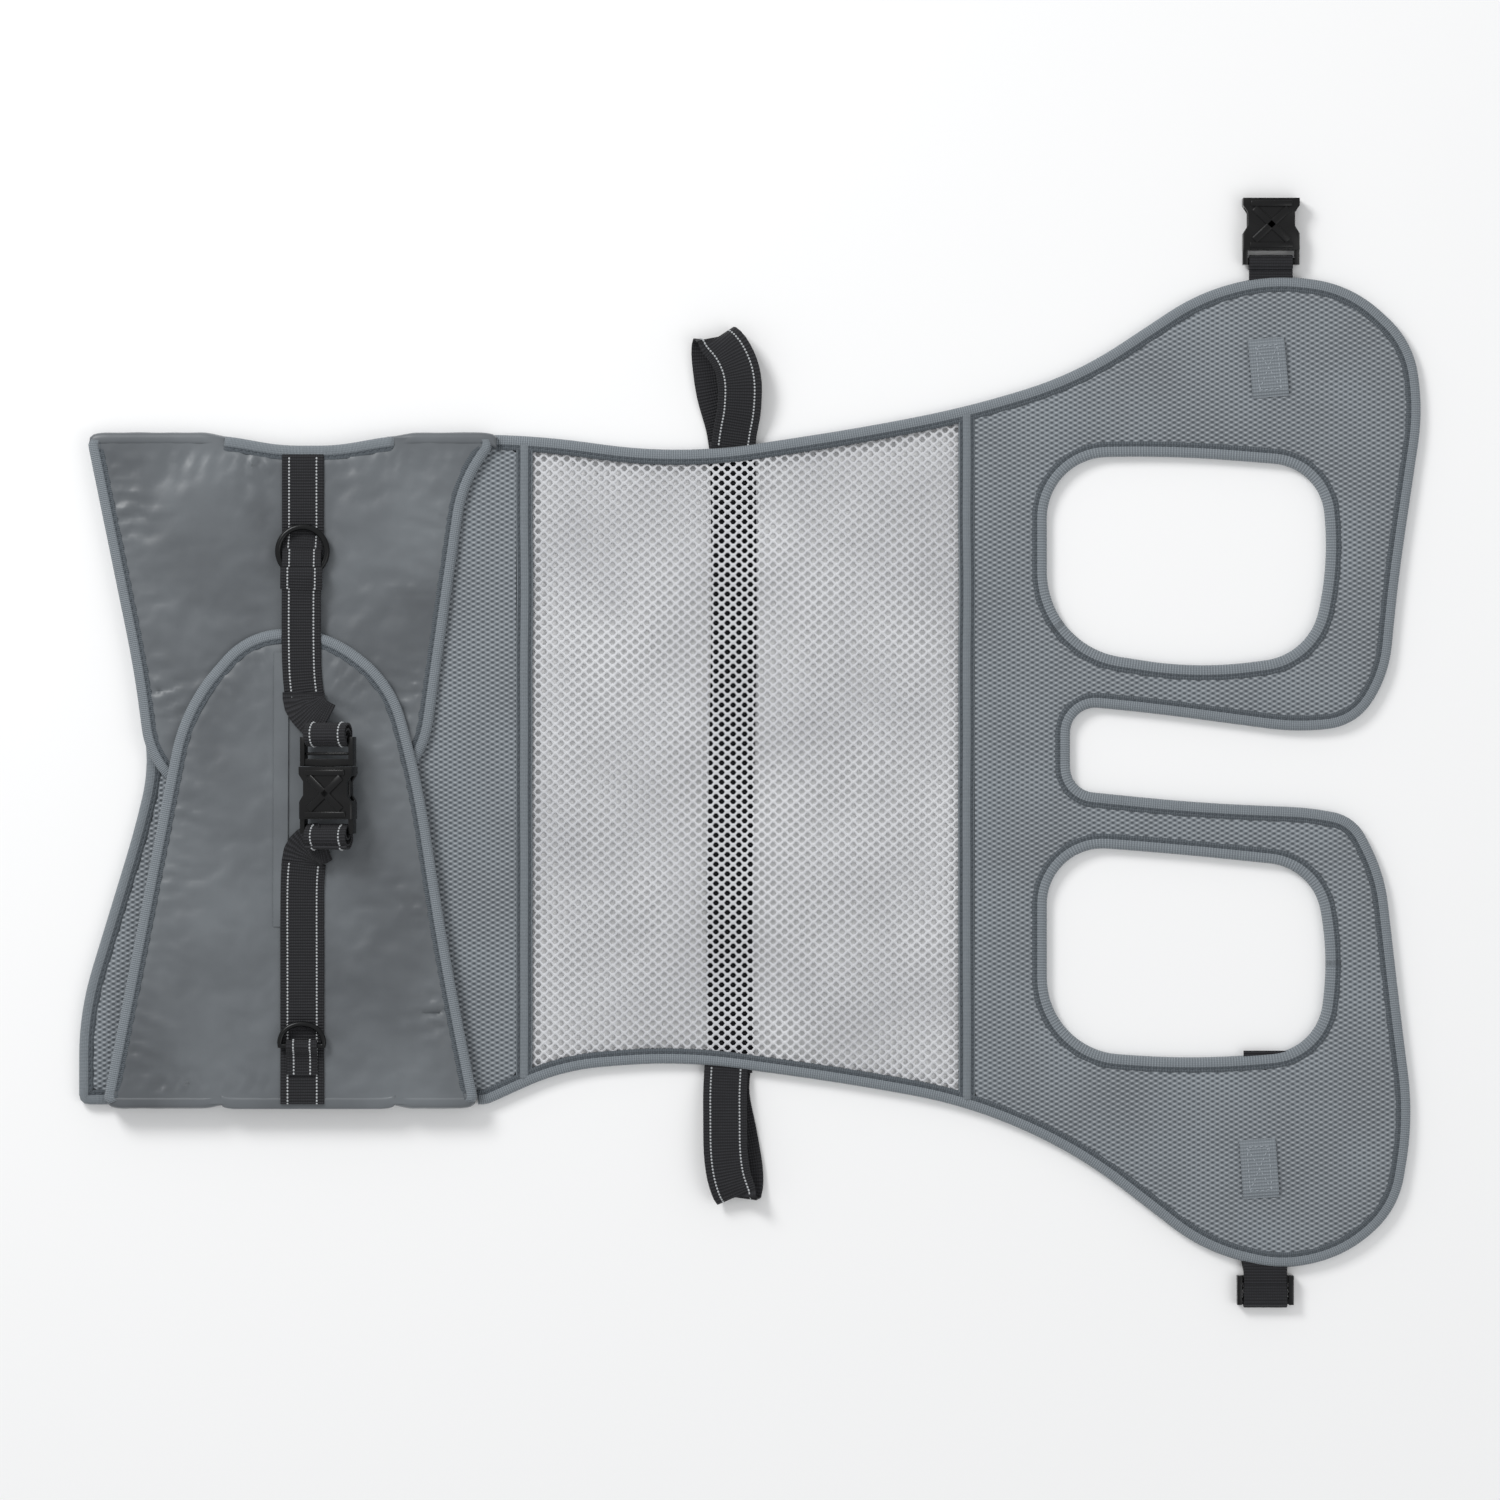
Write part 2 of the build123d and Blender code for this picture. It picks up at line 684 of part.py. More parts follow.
# ---- Carrying handles ---------------------------------------------------------
def handle(name, root_y, direction):
    """A loop of webbing standing off the body's edge; direction is +1 or -1 in Y."""
    low = slip
    seat_top = low + 2 * webbing_thickness
    tip = handle_length
    side = Plane(
        origin=(belly_strap_x - half_web, root_y, 0),
        x_dir=(0, direction, 0),
        z_dir=(direction, 0, 0),
    )
    with BuildPart() as loop:
        with BuildSketch(side):
            with BuildLine():
                Spline(
                    (0, seat_top),
                    (handle_seat, seat_top + 0.8),
                    (0.6 * tip, handle_rise),
                    (tip - 3, 0.7 * handle_rise),
                    (tip, 0.35 * handle_rise),
                    (tip - 3, low + 0.5),
                    (0.7 * tip, low),
                    tangents=((1, 0), (-1, 0)),
                )
                Line((0.7 * tip, low), (0, low))
                Line((0, low), (0, seat_top))
            make_face()
        extrude(amount=webbing_width if direction > 0 else -webbing_width)
        with BuildSketch(side):
            with BuildLine():
                Spline(
                    (handle_seat, low + webbing_thickness),
                    (handle_seat + 8, seat_top + 0.6),
                    (0.6 * tip, handle_rise - webbing_thickness),
                    (tip - 5, 0.6 * handle_rise),
                    (tip - 5, low + webbing_thickness),
                )
                Line(
                    (tip - 5, low + webbing_thickness),
                    (handle_seat, low + webbing_thickness),
                )
            make_face()
        extrude(
            amount=webbing_width if direction > 0 else -webbing_width,
            mode=Mode.SUBTRACT,
        )
    save(name, loop.part)


handle("upper_handle", upper_handle_root, 1)
handle("lower_handle", lower_handle_root, -1)
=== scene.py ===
"""Looks of a full-body dog lifting harness, laid flat with its chest flaps buckled.

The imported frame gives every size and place. All lengths are in metres, X along the
harness, Y across it and Z up from the table.
"""

import logging
import math
from dataclasses import dataclass, field
from enum import Enum
from typing import Callable, Iterable, Sequence

import bpy
import numpy as np
from mathutils import Matrix, Vector, noise
from mathutils.geometry import delaunay_2d_cdt
from mathutils.kdtree import KDTree


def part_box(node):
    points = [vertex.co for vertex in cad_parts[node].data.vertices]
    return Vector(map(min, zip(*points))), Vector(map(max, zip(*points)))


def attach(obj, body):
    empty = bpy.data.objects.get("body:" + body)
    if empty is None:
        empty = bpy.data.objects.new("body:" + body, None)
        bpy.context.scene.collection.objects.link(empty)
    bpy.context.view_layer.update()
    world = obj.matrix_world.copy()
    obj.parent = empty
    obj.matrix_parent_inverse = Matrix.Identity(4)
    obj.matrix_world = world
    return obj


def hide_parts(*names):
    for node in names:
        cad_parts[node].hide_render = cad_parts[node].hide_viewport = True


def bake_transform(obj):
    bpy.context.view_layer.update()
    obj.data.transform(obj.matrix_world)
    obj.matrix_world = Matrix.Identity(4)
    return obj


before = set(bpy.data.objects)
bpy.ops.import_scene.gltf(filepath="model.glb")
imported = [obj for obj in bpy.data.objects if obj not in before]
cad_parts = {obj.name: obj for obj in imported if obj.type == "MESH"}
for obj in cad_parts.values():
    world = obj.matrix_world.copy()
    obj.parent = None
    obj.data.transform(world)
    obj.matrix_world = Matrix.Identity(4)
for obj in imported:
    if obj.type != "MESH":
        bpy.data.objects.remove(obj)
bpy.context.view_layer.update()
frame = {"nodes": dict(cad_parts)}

log = logging.getLogger("harness")
logging.basicConfig(level=logging.INFO, format="%(message)s")

MM = 0.001
Point = tuple[float, float]
Loop = list[Point]
UP = Vector((0, 0, 1))
ALONG_X = Vector((1, 0, 0))

# Length and gap of a stitch, and the thread's thickness where it is not the usual one.
TAPE_STITCH = (2.4 * MM, 1.6 * MM)
REFLECTIVE_STITCH = (1.35 * MM, 0.45 * MM)
TAB_STITCH = (2.0 * MM, 1.0 * MM, 0.7 * MM)


# ---- Materials ----------------------------------------------------------------
def colour(hex_code: str) -> tuple[float, float, float, float]:
    """Turns an sRGB hex value into the linear colour that shaders take.

    Args:
        hex_code: Six hex digits with a leading hash.

    Returns:
        Linear red, green, blue and an alpha of 1.
    """
    channels = [int(hex_code[i : i + 2], 16) / 255 for i in (1, 3, 5)]
    linear = [c / 12.92 if c <= 0.04045 else ((c + 0.055) / 1.055) ** 2.4 for c in channels]
    return (*linear, 1.0)


def add_node(
    tree: bpy.types.NodeTree, kind: str, inputs: dict | None = None, **settings
) -> bpy.types.Node:
    """Adds a shader node with its settings and links.

    Args:
        tree: The material's node tree.
        kind: The node's type name, without its ShaderNode prefix.
        inputs: Socket name or index to a value, or to the output socket it is fed from.
        **settings: Properties of the node itself.

    Returns:
        The new node.
    """
    node = tree.nodes.new("ShaderNode" + kind)
    for name, value in settings.items():
        setattr(node, name, value)
    for name, value in (inputs or {}).items():
        if isinstance(value, bpy.types.NodeSocket):
            tree.links.new(value, node.inputs[name])
        else:
            node.inputs[name].default_value = value
    return node


def math_node(
    tree: bpy.types.NodeTree, operation: str, *values: object
) -> bpy.types.NodeSocket:
    """Adds a Math node and returns its output socket."""
    return add_node(tree, "Math", dict(enumerate(values)), operation=operation).outputs[0]


@dataclass(frozen=True)
class Finish:
    """A surface finish: what it is made of, and how it is drawn.

    Attributes:
        name: The material's name.
        base: Main colour, as an sRGB hex value.
        roughness: Typical roughness of the real surface.
    """

    name: str
    base: str
    roughness: float = 0.6

    def pattern(self, tree: bpy.types.NodeTree, shader: bpy.types.Node) -> None:
        """Draws the finish's own pattern; a plain finish has a faint mottle."""
        place = add_node(tree, "TexCoord").outputs["Object"]
        mottle = add_node(tree, "TexNoise", {"Vector": place, "Scale": 60.0, "Detail": 4.0})
        bump = add_node(
            tree, "Bump", {"Height": mottle.outputs[0], "Strength": 0.2, "Distance": 0.1 * MM}
        )
        tree.links.new(bump.outputs[0], shader.inputs["Normal"])

    def make(self) -> bpy.types.Material:
        """Builds the material, once, and returns it."""
        made = bpy.data.materials.get(self.name)
        if made:
            return made
        material = bpy.data.materials.new(self.name)
        material.use_nodes = True
        tree = material.node_tree
        shader = tree.nodes["Principled BSDF"]
        shader.inputs["Base Color"].default_value = colour(self.base)
        shader.inputs["Roughness"].default_value = self.roughness
        material.diffuse_color = colour(self.base)
        self.pattern(tree, shader)
        return material


def wave(
    tree: bpy.types.NodeTree, value: bpy.types.NodeSocket, period: float
) -> bpy.types.NodeSocket:
    """The cosine of a coordinate, with a period in metres."""
    return math_node(tree, "COSINE", math_node(tree, "MULTIPLY", value, math.tau / period))


def mix_colours(
    tree: bpy.types.NodeTree, factor: bpy.types.NodeSocket, first: object, second: object
) -> bpy.types.NodeSocket:
    """Mixes two colours, or two colour sockets, by a factor socket."""
    node = add_node(tree, "Mix", data_type="RGBA")
    for index, value in ((0, factor), (6, first), (7, second)):
        if isinstance(value, bpy.types.NodeSocket):
            tree.links.new(value, node.inputs[index])
        else:
            node.inputs[index].default_value = value
    return node.outputs[2]


@dataclass(frozen=True)
class Nylon(Finish):
    """Dense plain-woven polyamide with a calendered back: smooth, a soft satin sheen."""

    light: str = "#6b7074"
    thread: float = 0.9 * MM  # drawn coarser than the real 0.3 mm so that it shows

    def pattern(self, tree: bpy.types.NodeTree, shader: bpy.types.Node) -> None:
        """Fine plain weave and slow colour variation."""
        place = add_node(tree, "TexCoord").outputs["Object"]
        axes = add_node(tree, "SeparateXYZ", {0: place})
        weave = math_node(
            tree,
            "MULTIPLY",
            wave(tree, axes.outputs[0], self.thread),
            wave(tree, axes.outputs[1], self.thread),
        )
        slow = add_node(tree, "TexNoise", {"Vector": place, "Scale": 14.0, "Detail": 5.0})
        tint = add_node(
            tree,
            "MapRange",
            {"Value": slow.outputs[0], "From Min": 0.35, "From Max": 0.68},
        )
        shade = mix_colours(tree, tint.outputs[0], colour(self.base), colour(self.light))
        tree.links.new(shade, shader.inputs["Base Color"])
        creases = add_node(tree, "TexNoise", {"Vector": place, "Scale": 90.0, "Detail": 6.0})
        height = math_node(
            tree, "MULTIPLY_ADD", weave, 0.06, creases.outputs[0]
        )
        bump = add_node(tree, "Bump", {"Height": height, "Strength": 0.25, "Distance": 0.5 * MM})
        tree.links.new(bump.outputs[0], shader.inputs["Normal"])
        shader.inputs["Sheen Weight"].default_value = 0.15
        shader.inputs["Sheen Roughness"].default_value = 0.4
        shader.inputs["IOR"].default_value = 1.53


@dataclass(frozen=True)
class AirMesh(Finish):
    """Knitted polyester spacer fabric: rows of small staggered eyelets, painted darker as shade."""

    # Yarn between the eyelets, painted paler as highlight.
    light: str = "#a3a9ae"
    patch: str = "#858c92"
    # Colour painted in the eyelets as shade.
    dark: str = "#4f555b"
    pitch: float = 5.2 * MM
    row: float = 2.8 * MM
    drift: float = 1.6 * MM

    def pattern(self, tree: bpy.types.NodeTree, shader: bpy.types.Node) -> None:
        """Staggered eyelets along the harness, painted darker as shade, with painted yarn
        highlights between.
        """
        place = add_node(tree, "TexCoord").outputs["Object"]
        wobble = add_node(tree, "TexNoise", {"Vector": place, "Scale": 9.0, "Detail": 1.0})
        drift = (self.drift, self.drift, self.drift)
        shifted = add_node(
            tree,
            "VectorMath",
            {0: wobble.outputs[1], 1: drift, 2: place},
            operation="MULTIPLY_ADD",
        )
        axes = add_node(tree, "SeparateXYZ", {0: shifted.outputs[0]})
        holes = math_node(
            tree,
            "MULTIPLY",
            wave(tree, axes.outputs[0], self.pitch),
            wave(tree, axes.outputs[1], self.row),
        )
        patches = add_node(tree, "TexNoise", {"Vector": place, "Scale": 22.0, "Detail": 3.0})
        # Painted shade, darkest in the middle of each eyelet.
        depth = add_node(
            tree, "MapRange", {"Value": holes, "From Min": 0.05, "From Max": 0.75}
        )
        # Painted highlight on the yarn crests between the eyelets.
        lit = add_node(
            tree, "MapRange", {"Value": holes, "From Min": -0.15, "From Max": -0.85}
        )
        spread = mix_colours(
            tree,
            add_node(
                tree,
                "MapRange",
                {"Value": patches.outputs[0], "From Min": 0.3, "From Max": 0.7},
            ).outputs[0],
            colour(self.base),
            colour(self.patch),
        )
        yarn = mix_colours(tree, lit.outputs[0], spread, colour(self.light))
        shade = mix_colours(tree, depth.outputs[0], yarn, colour(self.dark))
        tree.links.new(shade, shader.inputs["Base Color"])
        bump = add_node(
            tree,
            "Bump",
            {"Height": holes, "Strength": 0.8, "Distance": 0.5 * MM},
            invert=True,
        )
        tree.links.new(bump.outputs[0], shader.inputs["Normal"])
        shader.inputs["Sheen Weight"].default_value = 0.2


@dataclass(frozen=True)
class Yarn(Finish):
    """Twisted polyester yarn of the open mesh: bright, with a faint twist."""

    patch: str = "#dcdde0"
    twist: float = 1.2 * MM

    def pattern(self, tree: bpy.types.NodeTree, shader: bpy.types.Node) -> None:
        """Diagonal twist of the yarn as a slight relief."""
        place = add_node(tree, "TexCoord").outputs["Object"]
        axes = add_node(tree, "SeparateXYZ", {0: place})
        along = math_node(tree, "ADD", axes.outputs[0], axes.outputs[1])
        patches = add_node(tree, "TexNoise", {"Vector": place, "Scale": 12.0, "Detail": 3.0})
        tint = add_node(
            tree,
            "MapRange",
            {"Value": patches.outputs[0], "From Min": 0.3, "From Max": 0.7},
        )
        shade = mix_colours(tree, tint.outputs[0], colour(self.base), colour(self.patch))
        tree.links.new(shade, shader.inputs["Base Color"])
        bump = add_node(
            tree,
            "Bump",
            {"Height": wave(tree, along, self.twist), "Strength": 0.4, "Distance": 0.2 * MM},
        )
        tree.links.new(bump.outputs[0], shader.inputs["Normal"])
        shader.inputs["Sheen Weight"].default_value = 0.2


@dataclass(frozen=True)
class Ribbed(Finish):
    """Woven tape or webbing: ribs across it, their crests painted paler as highlight."""

    rib: float = 1.5 * MM
    # Paler colour: a little of it everywhere, and more on the rib crests as painted highlight.
    edge: str = "#8f969c"
    relief: float = 0.35 * MM
    edge_share: float = 0.5
    shine: float = 0.5

    def pattern(self, tree: bpy.types.NodeTree, shader: bpy.types.Node) -> None:
        """Ribs along the piece's own UV length, the paler colour mixed in a little everywhere and
        more on the mottled rib crests as painted highlight.
        """
        uv = add_node(tree, "UVMap", uv_map="UVMap").outputs[0]
        axes = add_node(tree, "SeparateXYZ", {0: uv})
        ribs = wave(tree, axes.outputs[0], self.rib)
        threads = wave(tree, axes.outputs[1], self.rib * 0.8)
        place = add_node(tree, "TexCoord").outputs["Object"]
        mottle = add_node(tree, "TexNoise", {"Vector": place, "Scale": 160.0, "Detail": 4.0})
        height = math_node(tree, "MULTIPLY_ADD", threads, 0.35, ribs)
        # Painted highlight: the paler colour follows the rib height, so the crests look lit.
        tint = math_node(
            tree,
            "MULTIPLY_ADD",
            math_node(tree, "MULTIPLY", height, mottle.outputs[0]),
            self.edge_share,
            0.25 * self.edge_share,
        )
        clamped = add_node(tree, "Clamp", {0: tint}).outputs[0]
        shade = mix_colours(tree, clamped, colour(self.base), colour(self.edge))
        tree.links.new(shade, shader.inputs["Base Color"])
        bump = add_node(
            tree, "Bump", {"Height": height, "Strength": 0.6, "Distance": self.relief}
        )
        tree.links.new(bump.outputs[0], shader.inputs["Normal"])
        shader.inputs["Specular IOR Level"].default_value = self.shine
        shader.inputs["Sheen Weight"].default_value = 0.2 * self.shine


@dataclass(frozen=True)
class Moulded(Finish):
    """Injection-moulded acetal: satin, with a faint spark-eroded grain."""

    grain: float = 0.6 * MM

    def pattern(self, tree: bpy.types.NodeTree, shader: bpy.types.Node) -> None:
        """Fine mould grain and slightly uneven gloss."""
        place = add_node(tree, "TexCoord").outputs["Object"]
        grain = add_node(
            tree, "TexNoise", {"Vector": place, "Scale": 1 / self.grain, "Detail": 3.0}
        )
        gloss = add_node(tree, "TexNoise", {"Vector": place, "Scale": 120.0})
        rough = add_node(
            tree,
            "MapRange",
            {
                "Value": gloss.outputs[0],
                "To Min": self.roughness - 0.08,
                "To Max": self.roughness + 0.08,
            },
        )
        tree.links.new(rough.outputs[0], shader.inputs["Roughness"])
        bump = add_node(
            tree,
            "Bump",
            {"Height": grain.outputs[0], "Strength": 0.25, "Distance": 0.08 * MM},
        )
        tree.links.new(bump.outputs[0], shader.inputs["Normal"])
        shader.inputs["IOR"].default_value = 1.48
        shader.inputs["Specular IOR Level"].default_value = 0.33


@dataclass(frozen=True)
class CoatedSteel(Finish):
    """Steel wire with a black electro-coat: dark, smooth, a clear highlight."""

    def pattern(self, tree: bpy.types.NodeTree, shader: bpy.types.Node) -> None:
        """Slight orange peel of the coat."""
        place = add_node(tree, "TexCoord").outputs["Object"]
        peel = add_node(tree, "TexNoise", {"Vector": place, "Scale": 700.0})
        bump = add_node(
            tree, "Bump", {"Height": peel.outputs[0], "Strength": 0.15, "Distance": 0.05 * MM}
        )
        tree.links.new(bump.outputs[0], shader.inputs["Normal"])
        shader.inputs["Metallic"].default_value = 0.6


# Rolled flat on one face, the weave looks smooth and satiny.
NYLON = Nylon("calendered_nylon", "#54585c", 0.42)
# Matt knit, speckled by painted shade in its eyelets and painted highlight on the yarn between.
AIR_MESH = AirMesh("grey_air_mesh", "#767b80", 0.85)
# Pale matt yarn, bright against the webbing that lies under the window.
YARN = Yarn("open_mesh_yarn", "#c4c5c9", 0.7)
# Matt woven tape, its rib crests painted paler as highlight; a darker copy paints shade in the
# stitched groove and down the tape's inner edge.
TAPE = Ribbed("grey_binding_tape", "#747b81", 0.75, edge="#a9b1b7")
TAPE_GROOVE_SHADE = Ribbed("stitched_tape_edge", "#4d545a", 0.8, edge="#777e85")
# Grey tab webbing, its rib crests painted paler as highlight.
TAB = Ribbed("grey_tab_webbing", "#757c82", 0.8, edge="#a3aab0", rib=1.8 * MM)
# Dense black weave whose rib crests carry only a faint painted highlight.
WEBBING = Ribbed(
    "black_polyester_webbing",
    "#17171a",
    0.7,
    rib=1.6 * MM,
    edge="#3c3d42",
    edge_share=0.45,
    shine=0.3,
)
# Glass-beaded thread: a light grey line when no lamp is aimed at it.
REFLECTIVE = Finish("reflective_thread", "#b4b7b9", 0.4)
# Thin matt polyester, a shade off its cloth.
THREAD = Finish("grey_sewing_thread", "#4a5157", 0.7)
TAB_THREAD = Finish("pale_sewing_thread", "#9aa1a7", 0.7)
# Black and satin, with crisp highlights on its edges.
ACETAL = Moulded("moulded_black_acetal", "#0c0c0d", 0.27)
# Black and smooth, with one clear highlight along the wire.
STEEL = CoatedSteel("black_coated_steel", "#1a1b1c", 0.28)


# ---- Geometry helpers ---------------------------------------------------------
def deselect() -> None:
    """Deselects every object, which operators would otherwise act on."""
    bpy.ops.object.select_all(action="DESELECT")


def activate(piece: bpy.types.Object) -> None:
    """Selects one object alone and makes it the active one."""
    deselect()
    piece.select_set(True)
    bpy.context.view_layer.objects.active = piece


def mesh_piece(
    name: str,
    points: Sequence[Sequence[float]],
    faces: Sequence[Sequence[int]],
    finishes: Sequence[Finish],
    uvs: Sequence[Point] | None = None,
    smooth: bool = True,
) -> bpy.types.Object:
    """Makes a cloth piece from its points and faces.

    Args:
        name: The piece's name.
        points: Vertex places, in the harness's frame.
        faces: Vertex numbers of each face.
        finishes: The piece's materials, in slot order.
        uvs: One UV point per vertex, in metres along and across the cloth.
        smooth: Whether its faces are shaded smooth.

    Returns:
        The new object, at the origin.
    """
    mesh = bpy.data.meshes.new(name)
    mesh.from_pydata([tuple(p) for p in points], [], [tuple(f) for f in faces])
    if uvs is not None:
        layer = mesh.uv_layers.new(name="UVMap")
        for corner in mesh.loops:
            layer.data[corner.index].uv = uvs[corner.vertex_index]
    mesh.shade_smooth() if smooth else mesh.shade_flat()
    for finish in finishes:
        mesh.materials.append(finish.make())
    mesh.update()
    piece = bpy.data.objects.new(name, mesh)
    bpy.context.scene.collection.objects.link(piece)
    return piece


def finish_with(piece: bpy.types.Object, kind: str, **settings) -> None:
    """Adds a modifier of a kind and applies it."""
    activate(piece)
    modifier = piece.modifiers.new(kind.title(), kind)
    for name, value in settings.items():
        setattr(modifier, name, value)
    bpy.ops.object.modifier_apply(modifier=modifier.name)


def turn_out(piece: bpy.types.Object) -> None:
    """Points every face of a closed piece outwards."""
    activate(piece)
    bpy.ops.object.mode_set(mode="EDIT")
    bpy.ops.mesh.select_all(action="SELECT")
    bpy.ops.mesh.normals_make_consistent(inside=False)
    bpy.ops.object.mode_set(mode="OBJECT")


def outlines_of(nodes: Iterable[str]) -> list[Loop]:
    """Reads the closed outlines of flat nodes that lie side by side.

    Args:
        nodes: CAD nodes whose tops are at one height.

    Returns:
        The outlines of their tops taken together, longest first.
    """
    uses: dict[tuple, int] = {}
    for node in nodes:
        mesh = frame["nodes"][node].data
        top = max(v.co.z for v in mesh.vertices)
        for face in mesh.polygons:
            corners = [mesh.vertices[i].co for i in face.vertices]
            if min(c.z for c in corners) < top - 0.01 * MM:
                continue
            keys = [(round(c.x, 5), round(c.y, 5)) for c in corners]
            for start, end in zip(keys, keys[1:] + keys[:1]):
                if start != end:
                    edge = (start, end)
                    uses[edge] = uses.get(edge, 0) + 1
    edges = {e for e in uses if (e[1], e[0]) not in uses}
    follow: dict[Point, Point] = dict(edges)
    loops = []
    while follow:
        first, point = next(iter(follow.items()))
        loop = [first]
        del follow[first]
        while point != first and point in follow:
            loop.append(point)
            point = follow.pop(point)
        loops.append(loop)
    return sorted(loops, key=length_of, reverse=True)


def length_of(loop: Loop) -> float:
    """The length of a closed outline."""
    return sum(math.dist(a, b) for a, b in zip(loop, loop[1:] + loop[:1]))


def resample(loop: Loop, step: float, closed: bool = True) -> Loop:
    """Spaces points evenly along an outline.

    Args:
        loop: The outline's points.
        step: The wanted spacing.
        closed: Whether the last point joins the first.

    Returns:
        Evenly spaced points; an open outline keeps both ends.
    """
    points = list(loop) + ([loop[0]] if closed else [])
    lengths = np.concatenate(
        [[0], np.cumsum([math.dist(a, b) for a, b in zip(points, points[1:])])]
    )
    count = max(4, round(lengths[-1] / step))
    where = np.linspace(0, lengths[-1], count + 1)
    xs = np.interp(where, lengths, [p[0] for p in points])
    ys = np.interp(where, lengths, [p[1] for p in points])
    made = list(zip(xs.tolist(), ys.tolist()))
    return made[:-1] if closed else made


def inward_normals(points: Loop, closed: bool, spread: int = 2) -> list[Point]:
    """The side directions along an outline, to the left of its way round.

    Args:
        points: Evenly spaced points.
        closed: Whether they form a closed outline.
        spread: How many neighbours each side the direction is taken over.

    Returns:
        One unit direction per point.
    """
    count = len(points)
    normals = []
    for i in range(count):
        low, high = i - spread, i + spread
        if not closed:
            low, high = max(0, low), min(count - 1, high)
        a, b = points[low % count], points[high % count]
        dx, dy = b[0] - a[0], b[1] - a[1]
        size = math.hypot(dx, dy) or 1.0
        normals.append((-dy / size, dx / size))
    return normals


def inside(places: Sequence[Point], loops: Sequence[Loop]) -> np.ndarray:
    """Which places are inside an outline and outside its holes."""
    spots = np.array(places, float).reshape(-1, 2)
    odd = np.zeros(len(spots), bool)
    for loop in loops:
        for (x1, y1), (x2, y2) in zip(loop, loop[1:] + loop[:1]):
            if y1 == y2:
                continue
            level = (y1 > spots[:, 1]) != (y2 > spots[:, 1])
            crossing = (x2 - x1) * (spots[:, 1] - y1) / (y2 - y1) + x1
            odd ^= level & (spots[:, 0] < crossing)
    return odd


def sweep(
    name: str,
    points: Loop,
    profile: Sequence[Point],
    finishes: Sequence[Finish],
    closed: bool = True,
    slot_of: Callable[[int], int] | None = None,
    floor: Callable[[float, float], float] | None = None,
) -> bpy.types.Object:
    """Sweeps a closed cross-section along an outline in the table's plane.

    Args:
        name: The piece's name.
        points: The evenly spaced outline, its inside to the left.
        profile: Section points as (inward, up), in metres, listed round the section.
        finishes: Materials in slot order.
        closed: Whether the outline is closed.
        slot_of: Gives a section face's material slot.
        floor: Gives the lowest height that the piece may have at a place.

    Returns:
        The swept piece.
    """
    normals = inward_normals(points, closed)
    rows, sides = len(points), len(profile)
    step = length_of(points) / rows
    across = [0.0]
    for a, b in zip(profile, profile[1:]):
        across.append(across[-1] + math.dist(a, b))
    verts, uvs = [], []
    for i, ((x, y), (nx, ny)) in enumerate(zip(points, normals)):
        for (u, z), v in zip(profile, across):
            place = (x + nx * u, y + ny * u)
            verts.append((*place, max(z, floor(*place)) if floor else z))
            uvs.append((i * step, v))
    faces, slots = [], []
    for i in range(rows if closed else rows - 1):
        j = (i + 1) % rows
        for k in range(sides):
            m = (k + 1) % sides
            faces.append((i * sides + k, j * sides + k, j * sides + m, i * sides + m))
            slots.append(slot_of(k) if slot_of else 0)
    if not closed:
        faces.append(tuple(range(sides)))
        faces.append(tuple(range((rows - 1) * sides, rows * sides))[::-1])
        slots += [0, 0]
    piece = mesh_piece(name, verts, faces, finishes, uvs)
    piece.data.polygons.foreach_set("material_index", slots)
    turn_out(piece)
    return piece


@dataclass
class Region:
    """A flat area of cloth with the distance from any of its points to its edge."""

    loops: list[Loop]
    step: float = 4 * MM
    edges: list[Loop] = field(init=False)
    tree: KDTree = field(init=False)
    along: list[float] = field(init=False)

    def __post_init__(self) -> None:
        """Spaces the edge points and files them for finding the nearest."""
        self.edges = [resample(loop, self.step) for loop in self.loops]
        flat = [(p, i * self.step) for loop in self.edges for i, p in enumerate(loop)]
        self.tree = KDTree(len(flat))
        self.along = [s for _, s in flat]
        for i, (p, _) in enumerate(flat):
            self.tree.insert((*p, 0), i)
        self.tree.balance()

    def edge_distance(self, x: float, y: float) -> tuple[float, float]:
        """Distance to the nearest edge point, and how far along the edge that is."""
        _, index, distance = self.tree.find((x, y, 0))
        return distance, self.along[index]

    def fill(self) -> tuple[list[Point], list[tuple[int, ...]]]:
        """Fills the area with an even mesh of triangles.

        Returns:
            The points, and the triangles that join them.
        """
        edge: list[Point] = []
        borders = []
        for loop in self.edges:
            ids = [len(edge) + i for i in range(len(loop))]
            borders += list(zip(ids, ids[1:] + ids[:1]))
            edge += loop
        lowest, highest = np.min(edge, axis=0), np.max(edge, axis=0)
        row = self.step * math.sqrt(3) / 2
        grid = [
            (x + (r % 2) * self.step / 2, y)
            for r, y in enumerate(np.arange(lowest[1], highest[1], row))
            for x in np.arange(lowest[0], highest[0], self.step)
        ]
        held = inside(grid, self.edges)
        points = edge + [
            (float(x), float(y))
            for (x, y), good in zip(grid, held)
            if good and self.edge_distance(x, y)[0] > 0.6 * self.step
        ]
        made = delaunay_2d_cdt([Vector(p) for p in points], borders, [], 0, 1e-7)
        found = [(p.x, p.y) for p in made[0]]
        triangles = [tuple(f) for f in made[2]]
        middles = [np.mean([found[i] for i in f], axis=0) for f in triangles]
        kept = inside(middles, self.edges)
        return found, [f for f, good in zip(triangles, kept) if good]


def rim_of(faces: Sequence[Sequence[int]]) -> list[tuple[int, int]]:
    """The directed edges that only one face uses."""
    edges = {(a, b) for f in faces for a, b in zip(f, (*f[1:], f[0]))}
    return [e for e in edges if (e[1], e[0]) not in edges]


